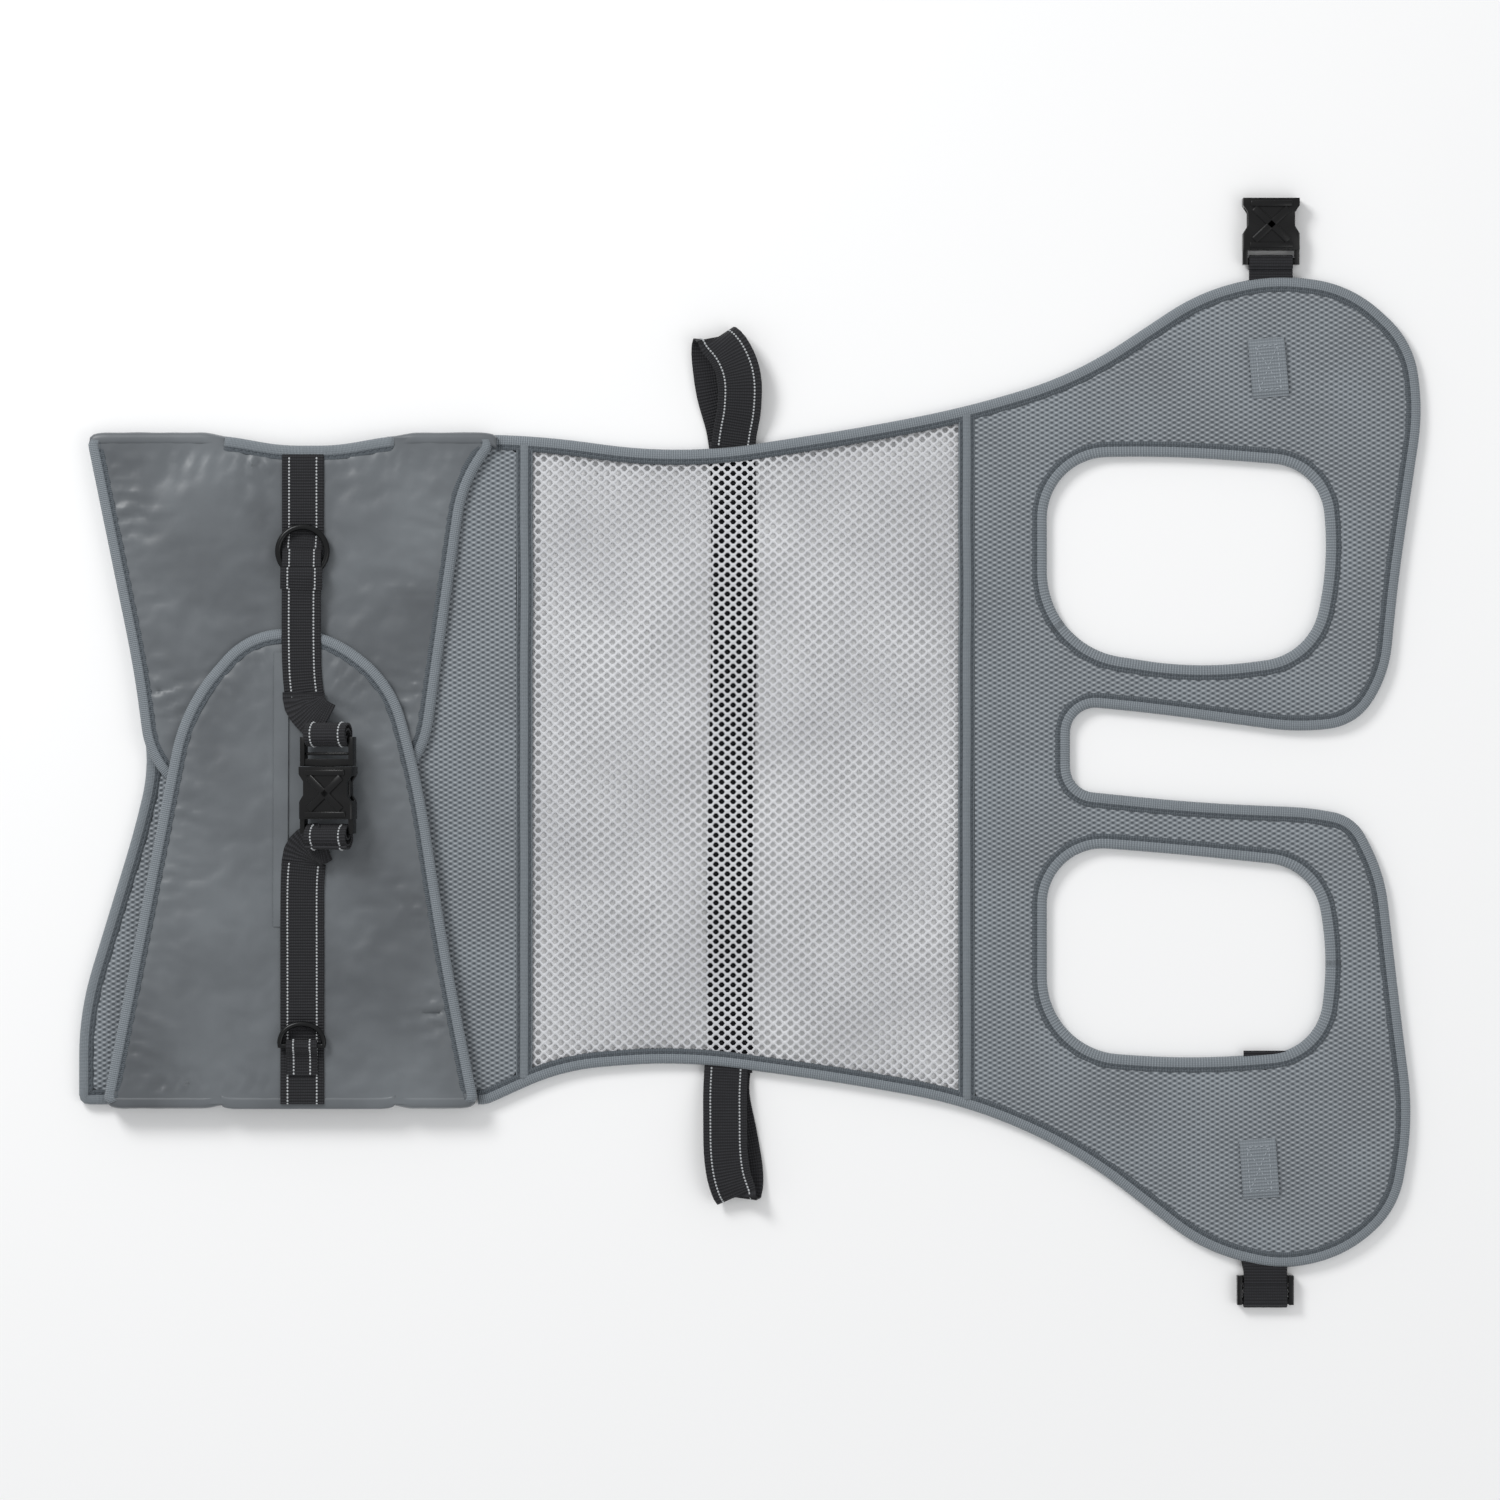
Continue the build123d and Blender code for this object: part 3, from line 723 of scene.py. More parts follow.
def closed_pad(
    name: str,
    top: Sequence[Sequence[float]],
    bottom: Sequence[Sequence[float]],
    faces: Sequence[Sequence[int]],
    finish: Finish,
) -> bpy.types.Object:
    """Makes a closed soft form between two layers of the same triangles.

    Args:
        name: The piece's name.
        top: Points of its upper layer.
        bottom: Points of its lower layer, in the same order.
        faces: The triangles, anticlockwise from above.
        finish: Its material.

    Returns:
        The new piece.
    """
    count = len(top)
    under = [tuple(i + count for i in reversed(f)) for f in faces]
    walls = [(a, a + count, b + count, b) for a, b in rim_of(faces)]
    piece = mesh_piece(name, [*top, *bottom], [*faces, *under, *walls], [finish])
    turn_out(piece)
    activate(piece)
    bpy.ops.object.shade_smooth_by_angle(angle=math.radians(60))
    return piece


def ribbon(
    name: str,
    path: Sequence[Vector],
    sides: Sequence[Vector] | Vector,
    width: float,
    thickness: float,
    finish: Finish,
) -> bpy.types.Object:
    """Makes a flat strap with rounded edges along a path.

    Args:
        name: The piece's name.
        path: Points along its middle.
        sides: The direction of its width, one for all or one per point.
        width: Its width.
        thickness: Its thickness.
        finish: Its material.

    Returns:
        The closed strap.
    """
    count = len(path)
    across = list(sides) if isinstance(sides, (list, tuple)) else [sides] * count
    half, t = width / 2, thickness / 2
    section = [
        (-half, 0.0),
        (-half + 0.5 * t, t),
        (-half * 0.55, t),
        (0.0, t),
        (half * 0.55, t),
        (half - 0.5 * t, t),
        (half, 0.0),
        (half - 0.5 * t, -t),
        (0.0, -t),
        (-half + 0.5 * t, -t),
    ]
    verts, uvs, along = [], [], 0.0
    for i, point in enumerate(path):
        before, after = path[max(0, i - 1)], path[min(count - 1, i + 1)]
        forward = (after - before).normalized()
        side = across[i] - forward * across[i].dot(forward)
        side.normalize()
        up = side.cross(forward)
        if i:
            along += (path[i] - path[i - 1]).length
        for u, z in section:
            verts.append(point + side * u + up * z)
            uvs.append((along, u + half))
    sides_count = len(section)
    faces = []
    for i in range(count - 1):
        for k in range(sides_count):
            m = (k + 1) % sides_count
            faces.append(
                (
                    i * sides_count + k,
                    i * sides_count + m,
                    (i + 1) * sides_count + m,
                    (i + 1) * sides_count + k,
                )
            )
    faces.append(tuple(range(sides_count))[::-1])
    faces.append(tuple(range((count - 1) * sides_count, count * sides_count)))
    piece = mesh_piece(name, verts, faces, [finish], uvs)
    turn_out(piece)
    activate(piece)
    bpy.ops.object.shade_smooth_by_angle(angle=math.radians(50))
    return piece


def smooth_path(points: Sequence[Vector], step: float) -> list[Vector]:
    """A Catmull-Rom curve through given points, sampled evenly enough."""
    made = []
    last = len(points) - 1
    for i in range(last):
        p0, p1, p2, p3 = (points[max(0, i - 1)], points[i], points[i + 1], points[min(last, i + 2)])
        pieces = max(2, round((p2 - p1).length / step))
        for k in range(pieces):
            t = k / pieces
            made.append(
                0.5
                * (
                    2 * p1
                    + (p2 - p0) * t
                    + (2 * p0 - 5 * p1 + 4 * p2 - p3) * t**2
                    + (3 * p1 - p0 - 3 * p2 + p3) * t**3
                )
            )
    made.append(points[-1].copy())
    return made


def stitches(
    name: str,
    lines: Sequence[Sequence[Vector]],
    up: Vector | Sequence[Vector],
    finish: Finish,
    length: float = 2.6 * MM,
    gap: float = 1.4 * MM,
    thickness: float = 1.05 * MM,
) -> bpy.types.Object:
    """Sews dashes along lines: each is a small domed bar that dives at both ends.

    Args:
        name: The piece's name.
        lines: Lines of points on the cloth's surface.
        up: The surface's outward direction.
        finish: The thread's material.
        length: Visible length of a stitch.
        gap: Space between stitches.
        thickness: The thread's thickness.

    Returns:
        One piece that holds every stitch.
    """
    verts: list[Vector] = []
    faces: list[tuple] = []
    ring = [(0.5, 0.0), (0.3, 0.42), (-0.3, 0.42), (-0.5, 0.0), (-0.25, -0.3), (0.25, -0.3)]
    shape = [
        (0.0, 0.25, -0.2),
        (0.15, 0.9, 0.0),
        (0.5, 1.0, 0.15),
        (0.85, 0.9, 0.0),
        (1.0, 0.25, -0.2),
    ]
    for line in lines:
        lengths = np.concatenate(
            [[0], np.cumsum([(b - a).length for a, b in zip(line, line[1:])])]
        )
        count = int((lengths[-1] - length) / (length + gap)) + 1
        for n in range(count):
            start = n * (length + gap)
            first = len(verts)
            for share, size, lift in shape:
                s = min(start + share * length, lengths[-1])
                i = min(int(np.searchsorted(lengths, s, side="right")) - 1, len(line) - 2)
                t = (s - lengths[i]) / max(lengths[i + 1] - lengths[i], 1e-9)
                point = line[i].lerp(line[i + 1], t)
                forward = (line[i + 1] - line[i]).normalized()
                normal = up[i] if isinstance(up, (list, tuple)) else up
                side = forward.cross(normal).normalized()
                for u, z in ring:
                    verts.append(
                        point
                        + side * (u * size * thickness)
                        + normal * ((z * size + lift) * thickness)
                    )
            sides = len(ring)
            for r in range(len(shape) - 1):
                for k in range(sides):
                    m = (k + 1) % sides
                    a = first + r * sides
                    faces.append((a + k, a + m, a + sides + m, a + sides + k))
            faces.append(tuple(first + k for k in range(sides))[::-1])
            faces.append(tuple(first + (len(shape) - 1) * sides + k for k in range(sides)))
    piece = mesh_piece(name, verts, faces, [finish])
    turn_out(piece)
    return piece


def rolling(x: float, y: float, size: float, seed: float = 0.0) -> float:
    """Smooth noise from -1 to 1 with bumps of about the given size."""
    return noise.noise(Vector((x / size, y / size, seed)))


def report(piece: bpy.types.Object) -> None:
    """Logs a finished piece."""
    log.info("%s: %d faces", piece.name, len(piece.data.polygons))


def place(
    piece: bpy.types.Object, body: str, slot: str, nodes: Iterable[str] = ()
) -> bpy.types.Object:
    """Rides a finished piece on its body and hides the CAD nodes that it stands for.

    Args:
        piece: The finished piece.
        body: The body that carries it.
        slot: Not used.
        nodes: CAD nodes that it stands for.

    Returns:
        The same piece.
    """
    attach(piece, body)
    if nodes:
        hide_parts(*nodes)
    report(piece)
    return piece


def place_blended(
    piece: bpy.types.Object,
) -> None:
    """Bakes a finished piece's transform into its mesh and logs it."""
    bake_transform(piece)
    report(piece)


class Side(Enum):
    """The two sides of the harness, by their direction along Y."""

    UPPER = 1
    LOWER = -1

    @property
    def word(self) -> str:
        """The side's name as the frame's nodes spell it."""
        return self.name.lower()


# ---- Cloth panels -------------------------------------------------------------
@dataclass
class PlugPocket:
    """The pocket under the lower lobe that the open plug's prongs lie in."""

    roof: float = 4.0 * MM
    side_room: float = 1.2 * MM
    end_room: float = 3.0 * MM

    def floor(self, x: float, y: float) -> float:
        """Lowest height that cloth may have at a place."""
        low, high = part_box("lobe_plug")
        in_width = low[0] - self.side_room < x < high[0] + self.side_room
        return self.roof if in_width and y < high[1] + self.end_room else 0.0


@dataclass
class BasePanel:
    """A quilted part of the base: nylon below, foam, and air mesh on top."""

    name: str
    swell: float
    body: str = "carrier_base"
    crown: float = 0.3 * MM
    edge_drop: float = 1.0 * MM
    pucker: float = 0.3 * MM
    pucker_pitch: float = 13 * MM
    step: float = 4 * MM
    pocket: PlugPocket = field(default_factory=PlugPocket)

    def top_height(self, region: Region, x: float, y: float, top: float) -> float:
        """Height of the air mesh: drawn down at the tapes, gently uneven between."""
        depth, along = region.edge_distance(x, y)
        phase = math.tau * along / self.pucker_pitch + 3 * rolling(x, y, 30 * MM)
        gathers = self.pucker * math.sin(phase) * math.exp(-depth / (9 * MM))
        sunk = self.edge_drop * math.exp(-depth / (4 * MM))
        wide = rolling(x, y, 48 * MM, 3) * self.swell
        return top + self.crown + gathers - sunk + wide * min(1, depth / (12 * MM))

    def build(self) -> None:
        """Builds the padded air mesh and the nylon under it."""
        lining, foam, shell = (f"{self.name}_{x}" for x in ("lining", "foam", "shell"))
        top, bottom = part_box(lining)[1][2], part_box(shell)[1][2] + 0.1 * MM
        region = Region(outlines_of([lining]), self.step)
        flat, faces = region.fill()
        pad = closed_pad(
            f"{self.name}_air_mesh_pad",
            [(x, y, self.top_height(region, x, y, top)) for x, y in flat],
            [(x, y, max(bottom, self.pocket.floor(x, y))) for x, y in flat],
            faces,
            AIR_MESH,
        )
        place(pad, self.body, "air_mesh", [lining, foam])
        under = Region(outlines_of([shell]), self.step)
        flat, faces = under.fill()
        low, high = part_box(shell)
        back = closed_pad(
            f"{self.name}_nylon_back",
            [(x, y, high[2]) for x, y in flat],
            [(x, y, low[2] + 0.08 * MM * (1 + rolling(x, y, 25 * MM))) for x, y in flat],
            faces,
            NYLON,
        )
        pad.name
        place(back, self.body, "nylon_shell", [shell])


@dataclass
class Flap:
    """A chest flap: air mesh below, thin foam, and nylon that puckers at its tape."""

    side: Side
    bound: Callable[[float, float], bool]
    seed: float
    growth: float = 0.004
    pressure: float = 1.6
    gather: float = 1.6 * MM
    gather_pitch: float = 9.0 * MM
    gather_reach: float = 12 * MM
    sewn_width: float = 9.0 * MM
    highest: float = 2.2 * MM
    lowest: float = -1.0 * MM
    tape_share: float = 0.9 * MM
    strap_room: float = 5 * MM
    fold_strip: float = 7 * MM
    moments: int = 20
    step: float = 2.6 * MM
    covered: Sequence[Loop] = ()

    @property
    def name(self) -> str:
        """The flap's name, which is its body's too."""
        return f"{self.side.word}_flap"

    def outline(self) -> list[Loop]:
        """The flap's whole outline, pulled in a little so that its tape covers the edge."""
        loop = outlines_of([f"{self.name}_shell", f"{self.name}_binding"])[0]
        points = resample(loop, self.step)
        normals = inward_normals(points, True)
        return [[(x + nx * MM, y + ny * MM) for (x, y), (nx, ny) in zip(points, normals)]]

    def settle(self, flat: list[Point], faces: list, region: Region, top: float) -> list:
        """Lets the nylon, sewn down along its tape and strap, settle with its fullness.

        Args:
            flat: The cloth's points.
            faces: Its triangles.
            region: Its area.
            top: Height of the cloth where it is sewn.

        Returns:
            The points of the settled cloth.
        """
        strap_low, strap_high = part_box(f"{self.name}_strap")
        strap_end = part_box(f"{self.name}_shell")[1][1]
        hidden = inside(flat, self.covered) if self.covered else [False] * len(flat)
        sewn, start = [], []
        for (x, y), under in zip(flat, hidden):
            depth, _ = region.edge_distance(x, y)
            at_tape = depth < (self.sewn_width if self.bound(x, y) else self.fold_strip)
            at_strap = strap_low[0] - self.strap_room < x < strap_high[0] and y < strap_end
            sewn.append(at_tape or at_strap or under)
            start.append((x, y, top + 0.15 * MM * rolling(x, y, 9 * MM, self.seed)))
        cloth = mesh_piece(f"{self.name}_settling", start, faces, [NYLON])
        group = cloth.vertex_groups.new(name="sewn")
        group.add([i for i, still in enumerate(sewn) if still], 1.0, "REPLACE")
        modifier = cloth.modifiers.new("Cloth", "CLOTH")
        settings = modifier.settings
        settings.quality = 6
        settings.mass = 0.2
        settings.tension_stiffness = settings.compression_stiffness = 25
        settings.shear_stiffness = 8
        settings.bending_stiffness = 1.2
        settings.vertex_group_mass = "sewn"
        settings.shrink_min = -self.growth
        settings.use_pressure = True
        settings.uniform_pressure_force = self.pressure
        settings.effector_weights.gravity = 0
        modifier.collision_settings.use_collision = False
        scene = bpy.context.scene
        for moment in range(1, self.moments + 1):
            scene.frame_set(moment)
        settled = cloth.evaluated_get(bpy.context.evaluated_depsgraph_get()).data
        places = [v.co.copy() for v in settled.vertices]
        scene.frame_set(1)
        bpy.data.objects.remove(cloth)
        made = []
        for (x, y, z), now, still in zip(start, places, sewn):
            rise = min(max(now.z - z, self.lowest), self.highest)
            slide = [min(max(d, -MM), MM) for d in (now.x - x, now.y - y)]
            wide = 0 if still else self.swelling(x, y)
            made.append((x + slide[0], y + slide[1], z + rise + wide))
        return made

    def swelling(self, x: float, y: float) -> float:
        """The slow unevenness of the padding."""
        slow = rolling(x + 0.4 * y, y, 42 * MM, self.seed + 5)
        fold = rolling(x - 0.7 * y, 0.45 * y, 24 * MM, self.seed + 9)
        return MM * (0.8 * slow + 0.35 * fold)

    def gathers(self, depth: float, along: float, x: float, y: float) -> float:
        """Short puckers square to the tape, some deeper than others."""
        into = depth - self.sewn_width + 2 * MM
        if into < 0 or not self.bound(x, y):
            return 0.0
        phase = math.tau * along / self.gather_pitch + 5 * rolling(x, y, 22 * MM, self.seed)
        deep = max(0.0, 0.35 + 1.4 * rolling(along, 0, 34 * MM, self.seed + 2))
        start = min(1.0, into / (2.5 * MM))
        return self.gather * math.sin(phase) * deep * start * math.exp(-into / self.gather_reach)

    def build(self) -> None:
        """Builds the nylon quilt and the air mesh under it."""
        shell, foam, lining = (f"{self.name}_{x}" for x in ("shell", "foam", "lining"))
        low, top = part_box(lining)[0][2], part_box(shell)[1][2]
        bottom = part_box(lining)[1][2]
        region = Region(self.outline(), self.step)
        flat, faces = region.fill()
        settled = self.settle(flat, faces, region, top)
        strap_low, strap_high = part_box(f"{self.name}_strap")
        upper, lower = [], []
        for (x, y, z), (fx, fy) in zip(settled, flat):
            depth, along = region.edge_distance(fx, fy)
            taped = self.bound(fx, fy) and depth < self.sewn_width - 2.2 * MM
            share = self.tape_share if taped else 0.0
            on_strap = strap_low[0] - self.strap_room < fx < strap_high[0] + MM
            raised = 0.0 if on_strap else self.gathers(depth, along, fx, fy)
            upper.append((x, y, z - share + raised))
            lower.append((fx, fy, bottom + 0.05 * MM + share))
        quilt = closed_pad(f"{self.name}_nylon_quilt", upper, lower, faces, NYLON)
        place(quilt, self.name, "nylon_shell", [shell, foam])
        loops = outlines_of([lining])
        sheet_region = Region(loops, 5 * MM)
        flat, faces = sheet_region.fill()
        mesh = closed_pad(
            f"{self.name}_air_mesh",
            [(x, y, bottom) for x, y in flat],
            [(x, y, low + 0.05 * MM) for x, y in flat],
            faces,
            AIR_MESH,
        )
        quilt.name
        place(mesh, self.name, "air_mesh", [lining])


@dataclass
class FoldSkin:
    """The nylon that runs round a pressed fold, from the base's back to the flap's top."""

    side: Side
    spans: Sequence[tuple[float, float]]
    hem: tuple[float, float] | None = None
    bulge: float = 2.0 * MM
    cloth: float = 0.6 * MM
    tuck: float = 8.0 * MM
    overlap: float = 5.0 * MM
    taper: float = 9.0 * MM
    notch_taper: float = 16.0 * MM
    step: float = 2.0 * MM

    def fullness(self, x: float, span: tuple[float, float], hem: bool) -> float:
        """How full the fold is at X: blunt at the flap's corners, drawn in at its notch."""
        corner, notch = x - span[0], span[1] - x
        if self.spans[0] != span:
            corner, notch = notch, corner
        if hem:
            corner, notch = min(corner, notch), self.notch_taper
        blunt = math.sqrt(max(0.0, 1 - (1 - min(1.0, corner / self.taper)) ** 2))
        share = min(1.0, notch / self.notch_taper)
        return min(blunt, share * share * (3 - 2 * share))

    def section(self, fold: float, low: float, top: float) -> list[Point]:
        """The outer line of the fold's section, from its underside round to the top.

        Args:
            fold: Y of the fold line.
            low: Height of its underside.
            top: Height of the flap's top.

        Returns:
            Points as (Y, Z).
        """
        way = self.side.value
        line = [(fold - way * self.tuck, low + 0.02 * MM)]
        for i in range(13):
            angle = math.pi * (i / 12 - 0.5)
            swell = math.cos(angle) ** 0.7 if abs(angle) < 1.57 else 0.0
            height = (low + top) / 2 + 0.5 * (top - low - 0.2 * MM) * math.sin(angle)
            line.append((fold + way * (self.bulge * swell), height))
        line[-1] = (fold - way * 1.0 * MM, top + 0.12 * MM)
        line.append((fold - way * 0.6 * self.overlap, top + 0.28 * MM))
        line.append((fold - way * self.overlap, top - 0.15 * MM))
        return line

    def build(self, number: int, span: tuple[float, float], hem: bool = False) -> None:
        """Builds the skin over one span of the fold.

        Args:
            number: Tells the spans apart.
            span: Where it starts and ends along X.
            hem: Whether it only closes the flap's own edge, where the base is cut away.
        """
        flap = f"{self.side.word}_flap"
        index = 1 if self.side is Side.UPPER else 0
        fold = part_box(f"{flap}_binding")[index][1]
        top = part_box(f"{flap}_shell")[1][2]
        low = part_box(f"{flap}_lining")[0][2] if hem else 0.0
        outer = self.section(fold, low, top)
        count = len(outer)
        inner = []
        for i, (y, z) in enumerate(outer):
            a, b = outer[max(0, i - 1)], outer[min(count - 1, i + 1)]
            dy, dz = b[0] - a[0], b[1] - a[1]
            size = math.hypot(dy, dz)
            way = self.side.value
            inner.append((y - way * dz / size * self.cloth, z + way * dy / size * self.cloth))
        ring = outer + inner[::-1]
        columns = max(2, round((span[1] - span[0]) / self.step)) + 1
        verts, faces = [], []
        for x in np.linspace(*span, columns):
            share = self.fullness(x, span, hem)
            for y, z in ring:
                y -= self.side.value * 2.4 * MM * (1 - share)
                middle = (low + top) / 2
                z = middle + (z - middle) * (0.9 + 0.1 * share)
                wobble = 0.35 * MM * rolling(x, z, 14 * MM, number) * math.sin(math.pi * z / top)
                verts.append((x, y + wobble, z))
        sides = len(ring)
        for c in range(columns - 1):
            for k in range(sides):
                m = (k + 1) % sides
                a = c * sides
                faces.append((a + k, a + m, a + sides + m, a + sides + k))
        for k in range(count - 1):
            end = (columns - 1) * sides
            cap = (k, k + 1, sides - 2 - k, sides - 1 - k)
            faces.append(cap[::-1])
            faces.append(tuple(end + i for i in cap))
        kind = "flap_hem" if hem else "fold_skin"
        skin = mesh_piece(f"{self.side.word}_{kind}_{number}", verts, faces, [NYLON])
        turn_out(skin)
        if hem:
            place(skin, flap, "nylon_shell")
            return
        place_blended(
            skin,
        )

    def build_all(self) -> None:
        """Builds every span."""
        for number, span in enumerate(self.spans, 1):
            self.build(number, span)
        if self.hem:
            self.build(1, self.hem, hem=True)


@dataclass
class BellyMesh:
    """The open warp-knit window: real holes in staggered rows."""

    pitch: float = 6.3 * MM
    row: float = 2.65 * MM
    corner: float = 2.69 * MM
    shoulder: float = 0.46 * MM
    hole_corner: float = 1.75 * MM
    hole_shoulder: float = 0.7 * MM
    hole_height: float = 1.42 * MM
    dip: float = 0.45 * MM
    sag: float = 4.0 * MM
    edge_room: float = 22 * MM
    box: tuple = field(default_factory=lambda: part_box("belly_mesh"))

    def lift(self, x: float, y: float) -> float:
        """How far the mesh lies above its lowest place."""
        slow = 0.5 + 0.5 * rolling(x + 0.35 * y, y - 0.3 * x, 50 * MM, 8)
        crease = rolling(0.8 * x - 0.5 * y, 0.35 * x + 0.5 * y, 30 * MM, 4)
        low, high = self.box
        depth = min(x - low[0], high[0] - x, y - low[1] - 8 * MM, high[1] - 12 * MM - y)
        free = 0.3 + 0.7 * min(1.0, max(0.0, depth / self.edge_room))
        height = slow + 0.25 * crease + 0.05 * rolling(x, y, 16 * MM, 9)
        return self.sag * free * max(0.0, height)

    def build(self) -> None:
        """Builds the mesh cell by cell, sharing each cell's corners with its neighbours."""
        loops = outlines_of(["belly_mesh"])
        low, high = self.box
        region = Region(loops, 3 * MM)
        rows = int((high[1] - low[1]) / self.row) + 3
        columns = int((high[0] - low[0]) / self.pitch) + 3
        centres = [
            (low[0] + (c - 0.5 * (r % 2)) * self.pitch, low[1] + (r - 1) * self.row)
            for r in range(rows)
            for c in range(columns)
        ]
        held = inside(centres, loops)
        shape = [
            (self.corner, 0.0),
            (self.shoulder, self.row),
            (-self.shoulder, self.row),
            (-self.corner, 0.0),
            (-self.shoulder, -self.row),
            (self.shoulder, -self.row),
        ]
        hole = [
            (self.hole_corner, 0.0),
            (self.hole_shoulder, self.hole_height),
            (-self.hole_shoulder, self.hole_height),
            (-self.hole_corner, 0.0),
            (-self.hole_shoulder, -self.hole_height),
            (self.hole_shoulder, -self.hole_height),
        ]
        verts: list[tuple[float, float, float]] = []
        known: dict[tuple[int, int], int] = {}
        faces: list[tuple[int, ...]] = []
        for (cx, cy), good in zip(centres, held):
            if not good and region.edge_distance(cx, cy)[0] > 2.0 * MM:
                continue
            lift = self.lift(cx, cy)
            outer = []
            for dx, dy in shape:
                x, y = cx + dx, cy + dy
                key = (round(x * 20000), round(y * 20000))
                if key not in known:
                    known[key] = len(verts)
                    height = self.lift(x, y)
                    verts += [(x, y, high[2] + height), (x, y, low[2] + height)]
                outer.append(known[key])
            first = len(verts)
            for dx, dy in hole:
                x, y = cx + dx, cy + dy
                verts += [(x, y, high[2] + lift - self.dip), (x, y, low[2] + lift + self.dip / 2)]
            inner = [first + 2 * k for k in range(6)]
            for k in range(6):
                m = (k + 1) % 6
                a, b, c, d = outer[k], outer[m], inner[m], inner[k]
                faces += [(a, b, c, d), (d, c, c + 1, d + 1), (d + 1, c + 1, b + 1, a + 1)]
        walls = [(b, a, a + 1, b + 1) for a, b in rim_of(faces) if a % 2 == 0 and b % 2 == 0]
        piece = mesh_piece("belly_mesh_knit", verts, faces + walls, [YARN])
        turn_out(piece)
        place(piece, "carrier_base", "honeycomb_mesh", ["belly_mesh"])


# ---- Tapes --------------------------------------------------------------------
@dataclass
class BindingTape:
    """Folded tape sewn over a cloth edge: full at the edge, drawn in at its stitches."""

    name: str
    nodes: Sequence[str]
    body: str = "carrier_base"
    free_edge: int = 0
    skip: Callable[[float, float], bool] = lambda x, y: False
    stitch_line: float = 6.0 * MM
    # Section faces given the darker tape copy: painted shade in the stitched groove and down the
    # tape's inner edge.
    groove: range = range(7, 12)
    step: float = 3.0 * MM
    swell: float = 0.45 * MM
    pocket: PlugPocket = field(default_factory=PlugPocket)

    def section(self, low: float, top: float) -> list[Point]:
        """The tape's section as (inward, up), from its outer edge over the top."""
        swell = self.swell
        line = [
            (1.2, low),
            (0.3, low + 0.7 * MM),
            (-0.1, (low + top) / 2),
            (0.2, top - 1.0 * MM),
            (1.1, top + 0.4 * swell),
            (2.8, top + swell),
            (4.4, top + 0.8 * swell),
            (5.3, top + 0.2 * swell),
            (6.0, top - 0.45 * MM),
            (6.7, top),
            (7.7, top - 0.1 * MM),
            (8.3, top - 0.8 * MM),
            (8.4, low + 0.6 * MM),
            (7.4, low),
        ]
        return [(u * MM, z) for u, z in line]

    def runs(self) -> list[tuple[Loop, bool]]:
        """The tape's lines of points, broken where the edge is a fold."""
        points = resample(outlines_of(self.nodes)[self.free_edge], self.step)
        dropped = [self.skip(*p) for p in points]
        if not any(dropped):
            return [(points, True)]
        start = dropped.index(True)
        runs, run = [], []
        for i in range(len(points) + 1):
            k = (start + i) % len(points)
            if dropped[k]:
                if len(run) > 6:
                    runs.append((run, False))
                run = []
            else:
                run.append(points[k])
        return runs

    def build(self) -> None:
        """Sweeps the tape and sews it."""
        boxes = [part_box(n) for n in self.nodes]
        low, top = min(b[0][2] for b in boxes), max(b[1][2] for b in boxes)
        section = self.section(low + 0.02 * MM, top)
        for number, (points, closed) in enumerate(self.runs(), 1):
            suffix = "" if number == 1 else f"_{number}"
            tape = sweep(
                f"{self.name}_tape{suffix}",
                points,
                section,
                [TAPE, TAPE_GROOVE_SHADE],
                closed,
                lambda k: int(k in self.groove),
                self.pocket.floor if self.body == "carrier_base" else None,
            )
            place(tape, self.body, "binding_tape", self.nodes if number == 1 else ())
            normals = inward_normals(points, closed)
            height = top - 0.35 * MM
            line = [
                Vector((x + nx * self.stitch_line, y + ny * self.stitch_line, height))
                for (x, y), (nx, ny) in zip(points, normals)
            ]
            if closed:
                line.append(line[0].copy())
            sewn = stitches(f"{self.name}_stitches{suffix}", [line], UP, THREAD, *TAPE_STITCH)
            place(sewn, self.body, "binding_tape")


@dataclass
class SeamTape:
    """The tape over a seam between a padded panel and the open mesh."""

    node: str
    # Section faces given the darker tape copy: painted shade in the two stitched grooves.
    grooves: tuple[int, ...] = (3, 4, 7, 8)
    step: float = 3.0 * MM

    def section(self, low: float, top: float, half: float) -> list[Point]:
        """The tape's section: two stitched grooves with a fuller strip between."""
        line = [
            (-0.96, low + 0.4 * MM),
            (-1.03, (low + top) / 2),
            (-0.98, top - 0.7 * MM),
            (-0.86, top + 0.05 * MM),
            (-0.66, top - 0.6 * MM),
            (-0.46, top + 0.15 * MM),
            (0.0, top + 0.4 * MM),
            (0.46, top + 0.15 * MM),
            (0.66, top - 0.6 * MM),
            (0.86, top + 0.05 * MM),
            (0.98, top - 0.7 * MM),
            (1.03, (low + top) / 2),
            (0.96, low + 0.4 * MM),
            (0.0, low + 0.05 * MM),
        ]
        return [(u * half, z) for u, z in line]

    def build(self) -> None:
        """Sweeps the tape along Y with a slight waver, and sews both its edges."""
        low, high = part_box(self.node)
        middle, half = (low[0] + high[0]) / 2, (high[0] - low[0]) / 2
        line = resample([(middle, low[1] - 3 * MM), (middle, high[1] + 3 * MM)], self.step, False)
        line = [(x + 0.5 * MM * rolling(0, y, 60 * MM, middle), y) for x, y in line]
        tape = sweep(
            f"{self.node}_woven",
            line,
            self.section(low[2], high[2], half),
            [TAPE, TAPE_GROOVE_SHADE],
            False,
            lambda k: int(k in self.grooves),
        )
        place(tape, "carrier_base", "binding_tape", [self.node])
        lines = [
            [Vector((x + way * 0.66 * half, y, high[2] - 0.5 * MM)) for x, y in line]
            for way in (-1, 1)
        ]
        sewn = stitches(f"{self.node}_stitches", lines, UP, THREAD, *TAPE_STITCH)
        place(sewn, "carrier_base", "binding_tape")


